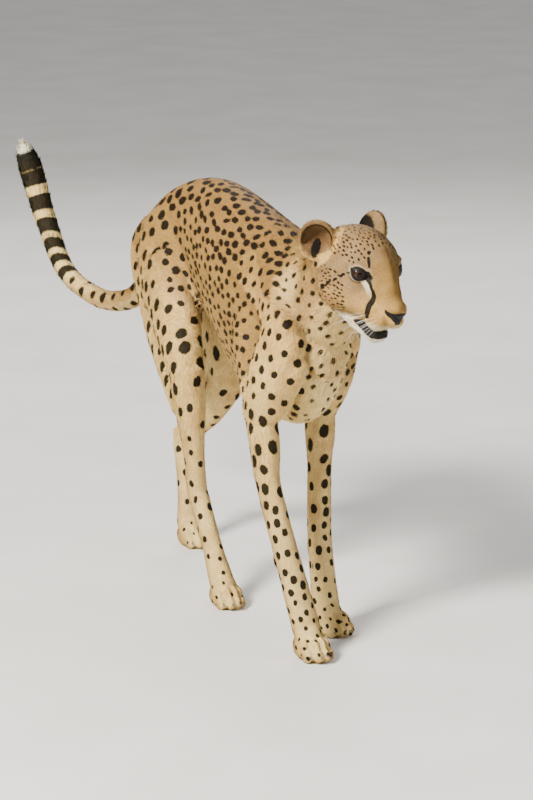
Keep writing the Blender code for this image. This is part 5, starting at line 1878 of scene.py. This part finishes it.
# ---- eyes, nose, mouth, claws
@dataclass
class Eye:
    """One eyeball with a cornea and the attributes that its iris is painted from."""

    lids: Lids
    radius: float = 0.0160
    cornea: float = 0.0012

    def build(self) -> Thing:
        """Rings about the gaze: radius + cornea * bell(angle / 0.62)."""
        angle = np.linspace(0, math.pi, 42)[1:-1]
        t = circle(56)
        gaze = unit(self.lids.axes[:, 0] * 0.9 + vec(0.20, 0, -0.05))
        across = unit(np.cross(vec(0, 0, 1), gaze))
        axes = np.stack([gaze, across, np.cross(gaze, across)], 1)
        reach = self.radius + self.cornea * bell(angle, 0.62)
        local = np.stack([np.repeat((reach * np.cos(angle))[:, None], len(t), 1),
                          (reach * np.sin(angle))[:, None] * np.cos(t),
                          (reach * np.sin(angle))[:, None] * np.sin(t)], -1)
        tips = np.array([[self.radius + self.cornea, 0, 0], [-self.radius, 0, 0]])
        place = lambda v: HEAD.out(self.lids.centre + v @ axes.T)
        ball = rings_surface(place(local), place(tips[0]), place(tips[1]))
        thing = make_object(f"eyeball_{self.lids.side.name.lower()}", ball)
        flat = np.concatenate([np.repeat(self.radius * np.sin(np.minimum(angle, math.pi / 2)) * 1000
                                         + np.where(angle > math.pi / 2, 20, 0), len(t)), [0, 40]])
        set_values(thing.data, "Reach", flat)
        set_values(thing.data, "Turn", np.concatenate([np.tile(t, len(angle)), [0, 0]]))
        return thing


def loop_tube(path: Array, normal: Array, half_width: Array, half_height: Array, sides: int = 8) -> Surface:
    """Closed ring of oval section along a closed path.

    Args:
        path: points of the loop.
        normal: outward direction at each point.
        half_width: size in the surface, for each point.
        half_height: size along the normal, for each point.
        sides: corners of the section.

    Returns:
        The ring.
    """
    ahead = unit(np.roll(path, -1, 0) - np.roll(path, 1, 0))
    side = unit(np.cross(ahead, normal))
    t = circle(sides)
    rings = (path[:, None] + side[:, None] * (half_width[:, None] * np.cos(t))[..., None]
             + normal[:, None] * (half_height[:, None] * np.sin(t))[..., None])
    count = len(path)
    index = np.arange(count * sides).reshape(count, sides)
    after = np.roll(index, -1, 0)
    quads = np.stack([index, np.roll(index, -1, 1), np.roll(after, -1, 1), after], -1).reshape(-1, 4)
    return Surface(rings.reshape(-1, 3), quads)


def outward(thing: Thing) -> Thing:
    """Turn all faces of closed shells outward."""
    bm = bmesh.new()
    bm.from_mesh(thing.data)
    bmesh.ops.recalc_face_normals(bm, faces=bm.faces)
    bm.to_mesh(thing.data)
    bm.free()
    return thing


@dataclass
class EyeRims:
    """Black naked lid margins lying on the eyeballs."""

    half_width: float = 0.0023
    half_height: float = 0.0013

    def build(self) -> Thing:
        """One ring for each eye, wider at the inner corner."""
        rings = []
        for lids in LIDS.values():
            path = lids.margin(96, HEAD.eye_radius + 0.0006, 0.0002)
            normal = unit(path - lids.centre)
            inner = ease(0.3, 1.0, -np.cos(circle(96)))
            rings.append(loop_tube(HEAD.out(path), HEAD.turned_out(normal),
                                   self.half_width + 0.0010 * inner, np.full(96, self.half_height)))
        return outward(make_object("eye_rims", join(rings)))


@dataclass
class NosePad:
    """Naked nose lying on the muzzle: wings turned up at both sides, an apex into the philtrum."""

    half_width: float = 0.0218
    rise: float = 0.0036
    height: float = -0.0470
    across: tuple[float, ...] = (0.0, 0.20, 0.50, 0.80, 1.0)
    top: tuple[float, ...] = (0.0072, 0.0062, 0.0052, 0.0072, 0.0090)
    bottom: tuple[float, ...] = (-0.0240, -0.0205, -0.0125, -0.0062, 0.0020)

    def build(self, skin: Thing) -> Thing:
        """A flattened ball whose outline is top and bottom by width, laid on the skin."""
        ball = ellipsoid((0, 0, 0), (1, 1, 1), around=96, levels=64)
        q = ball.points
        wide = np.abs(q[:, 1])
        up = q[:, 2] / np.sqrt(np.maximum(1 - q[:, 1] ** 2, 1e-4))
        top, bottom = np.interp(wide, self.across, self.top), np.interp(wide, self.across, self.bottom)
        local = np.stack([0.080 - 0.026 * wide ** 2, q[:, 1] * self.half_width,
                          self.height + bottom + (top - bottom) * (up * 0.5 + 0.5)], 1)
        thing = make_object("nose_pad", Surface(HEAD.out(local), ball.quads, ball.tris))
        modify(thing, "SHRINKWRAP", target=skin)
        base = HEAD.into(read(thing.data.vertices))
        normal = unit(np.stack([np.ones(len(q)), 1.3 * q[:, 1], 0.35 * up], 1))
        dent = np.zeros(len(q))
        for sign in (-1, 1):
            out = sign * local[:, 1] - 0.0118
            upward = local[:, 2] - self.height + 0.0030 - 0.55 * out
            dent += 0.0024 * bell(np.hypot(out / 0.0062, upward / 0.0017), 1.0)
        dent += 0.0010 * bell(local[:, 1], 0.0012) * ease(0.3, -0.4, up)
        lift = np.where(q[:, 0] > 0, self.rise * np.abs(q[:, 0]) ** 0.7 - dent, -0.0014)
        write_points(thing.data, HEAD.out(base + normal * lift[:, None]))
        return thing


@dataclass
class Whiskers:
    """Stiff white bristles on the whisker pads."""

    seed: int = SEED + 50

    @staticmethod
    def bristle(root: Array, ahead: Array, length: float, droop: float,
                radius: float = 0.00030) -> tuple[Surface, Array]:
        """A tapering five-sided tube that sags with the square of its length."""
        t = np.linspace(0, 1, 12)
        down = vec(-0.25, 0, -1)
        path = root + ahead * (t * length)[:, None] + down * (droop * length * t ** 2)[:, None]
        size = radius * (1 - 0.86 * t)
        side = unit(np.cross(ahead, vec(0, 0, 1)))
        up = np.cross(side, ahead)
        a = circle(5)
        section = side * np.cos(a)[:, None] + up * np.sin(a)[:, None]
        rings = path[:, None] + section[None] * size[:, None, None]
        surface = rings_surface(rings, path[0] - ahead * radius, path[-1] + ahead * radius)
        return surface, np.concatenate([np.repeat(t, 5), [0, 1]])

    def build(self) -> Thing:
        """Three rows of bristles on each side."""
        rng = np.random.default_rng(self.seed)
        made, along = [], []
        for sign, row, k in itertools.product((-1, 1), range(3), range(4)):
            root = vec(0.049 - 0.0075 * k + 0.001 * row, sign * (0.0190 + 0.0036 * k),
                       -0.0585 - 0.0055 * row + 0.001 * k)
            ahead = unit(vec(0.10 - 0.22 * k + rng.normal(0, 0.06), sign * (0.85 + rng.normal(0, 0.05)),
                             -0.16 - 0.16 * row + rng.normal(0, 0.05)))
            length, droop = rng.uniform(0.040, 0.068), rng.uniform(0.15, 0.35)
            surface, t = self.bristle(root - ahead * 0.003, ahead, length, droop)
            made.append(Surface(HEAD.out(surface.points), surface.quads, surface.tris))
            along.append(t)
        thing = make_object("whiskers", join(made))
        set_values(thing.data, "Along", np.concatenate(along))
        return outward(thing)


@dataclass
class Claws:
    """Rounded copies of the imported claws."""

    def build(self, nodes: dict[str, Thing]) -> list[tuple[Thing, str]]:
        """One smooth claw for each claw node."""
        made = []
        for name in sorted(n for n in nodes if n.startswith("claw_")):
            bm = bmesh.new()
            bm.from_mesh(nodes[name].data)
            bmesh.ops.remove_doubles(bm, verts=bm.verts, dist=1e-5)
            thing = linked("horn_" + name[5:], bpy.data.meshes.new("horn_" + name[5:]))
            bm.to_mesh(thing.data)
            bm.free()
            modify(thing, "SUBSURF", levels=2, render_levels=2)
            thing.data.shade_smooth()
            made.append((thing, name))
        return made


# ---- studio
@dataclass
class Studio:
    """Floor, lights and camera; lengths are in the frame's metres."""

    camera_place: Array = held(vec(-2.346482, -5.693702, 1.667470))
    camera_view: Array = held(vec(0.389701, 0.897165, -0.207912))
    lens: float = 145.8

    def floor(self) -> Thing:
        """A wide flat plane."""
        half = 14.0
        corners = np.array([(-half, -half, 0), (half, -half, 0), (half, half, 0), (-half, half, 0)], float)
        thing = make_object("studio_floor", Surface(corners, np.array([[0, 1, 2, 3]])), smooth=False)
        thing.data.materials.append(FloorFinish().build())
        return thing

    def lamp(self, name: str, place: Array, target: Array, size: float, power: float, tint: Array) -> None:
        """A square area light aimed at a target."""
        lamp = bpy.data.lights.new(name, "AREA")
        lamp.size = size
        lamp.energy = power
        lamp.color = tuple(tint)
        self.placed(name, lamp, place, target - place)

    def lights(self) -> None:
        """Key high at the camera's left, soft fill at its right, a rim from behind, pale world."""
        aim = vec(0, 0, 0.45)
        self.lamp("key", vec(-4.2, -2.4, 4.0), aim, 1.4, 950, vec(1.0, 0.96, 0.90))
        self.lamp("fill", vec(3.6, -3.8, 1.8), aim, 3.0, 90, vec(0.97, 0.98, 1.0))
        self.lamp("rim", vec(1.6, 3.6, 3.2), aim, 2.0, 120, vec(1.0, 0.98, 0.95))
        world = bpy.data.worlds.new("studio")
        world.use_nodes = True
        back = next(n for n in world.node_tree.nodes if n.type == "BACKGROUND")
        back.inputs["Color"].default_value = (0.97, 0.97, 0.98, 1.0)
        back.inputs["Strength"].default_value = 0.46
        bpy.context.scene.world = world

    def camera(self) -> None:
        """The view from ahead and to the animal's right, a little above it."""
        data = bpy.data.cameras.new("camera")
        data.lens = self.lens
        data.sensor_width = 36.0
        data.clip_end = 60.0
        bpy.context.scene.camera = self.placed("camera", data, self.camera_place, self.camera_view)

    @staticmethod
    def placed(name: str, data: Any, place: Sequence[float], ahead: Sequence[float]) -> Thing:
        """A new object at place that looks along ahead."""
        thing = linked(name, data)
        thing.location = Vector(place)
        thing.rotation_euler = Vector(ahead).to_track_quat("-Z", "Y").to_euler()
        return thing


LEG_PARTS = ("upper_arm", "forearm", "forepaw", "thigh", "shank", "metatarsus", "hindpaw")
FLESH = ("trunk", "neck", "head", "jaw", "ear_left", "ear_right", "tail_1", "tail_2", "tail_3", "tail_4",
         *(f"{part}_{side}" for part in LEG_PARTS for side in ("left", "right")))


@dataclass
class Cheetah:
    """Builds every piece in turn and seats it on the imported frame."""

    nodes: dict[str, Thing]
    offset: Array = field(init=False)

    def __post_init__(self) -> None:
        """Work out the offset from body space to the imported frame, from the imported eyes."""
        boxes = np.array([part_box("eye_left"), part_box("eye_right")], float)
        self.offset = boxes.mean((0, 1)) - HEAD.out(HEAD.eye * vec(1, 0, 1))

    def seat(self, thing: Thing, material: Material, slot: str, *replaced: str) -> None:
        """Move a piece from body space into the frame and hand it over."""
        write_points(thing.data, read(thing.data.vertices) + self.offset)
        self.hand_over(thing, material, slot, *replaced)

    def hand_over(self, thing: Thing, material: Material, slot: str, *replaced: str) -> None:
        """Dress a piece and let it ride on the root in the place of the nodes it replaces."""
        thing.data.materials.clear()
        thing.data.materials.append(material)
        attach(thing, "root")
        if replaced:
            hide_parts(*replaced)
        log.info("%s: %d faces", thing.name, len(thing.data.polygons))

    def build(self) -> None:
        """Skin, coat, eyes, nose, whiskers and claws."""
        skin, fine = Skin().build()
        nose = NosePad().build(skin)
        markings = Markings(fine)
        traits = Traits(fine.points, fine.normals, fine.lie)
        # The skin takes the hair's colours darkened, as painted shade beneath the coat.
        set_values(skin.data, "Coat", markings.colour(traits) * 0.86)
        set_values(skin.data, "Spot", markings.dark(traits))
        self.seat(skin, CoatFinish("skin_coat", bump=0.5, fray=0.30).build(), "coat_tawny", *FLESH)
        hair = CoatFinish("hair_coat").build()
        for k, region in enumerate(Region):
            piece = CoatPiece(region, fine, markings, SEED + 10 + k).build()
            self.seat(piece, hair, "coat_tawny")
        glass = EyeFinish().build()
        for lids in LIDS.values():
            self.seat(Eye(lids).build(), glass, "eye", f"eye_{lids.side.name.lower()}")
        leather = LeatherFinish("nose_leather", linear(6, 5, 5), linear(13, 11, 11))
        self.seat(nose, leather.build(), "nose_leather", "nose")
        rims = LeatherFinish("lid_leather", linear(9, 8, 8), linear(18, 15, 15), 0.36)
        self.seat(EyeRims().build(), rims.build(), "nose_leather")
        self.seat(Whiskers().build(), WhiskerFinish().build(), "coat_pale")
        horn = HornFinish().build()
        for thing, name in Claws().build(self.nodes):
            self.hand_over(thing, horn, "claw_horn", name)


def main() -> None:
    """Load the frame, build the looks, light them and hand over."""
    logging.basicConfig(level=logging.INFO, format="%(message)s")
    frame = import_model()
    studio = Studio()
    Cheetah(frame["nodes"]).build()
    studio.floor()
    studio.lights()
    studio.camera()


if __name__ == "__main__":
    main()
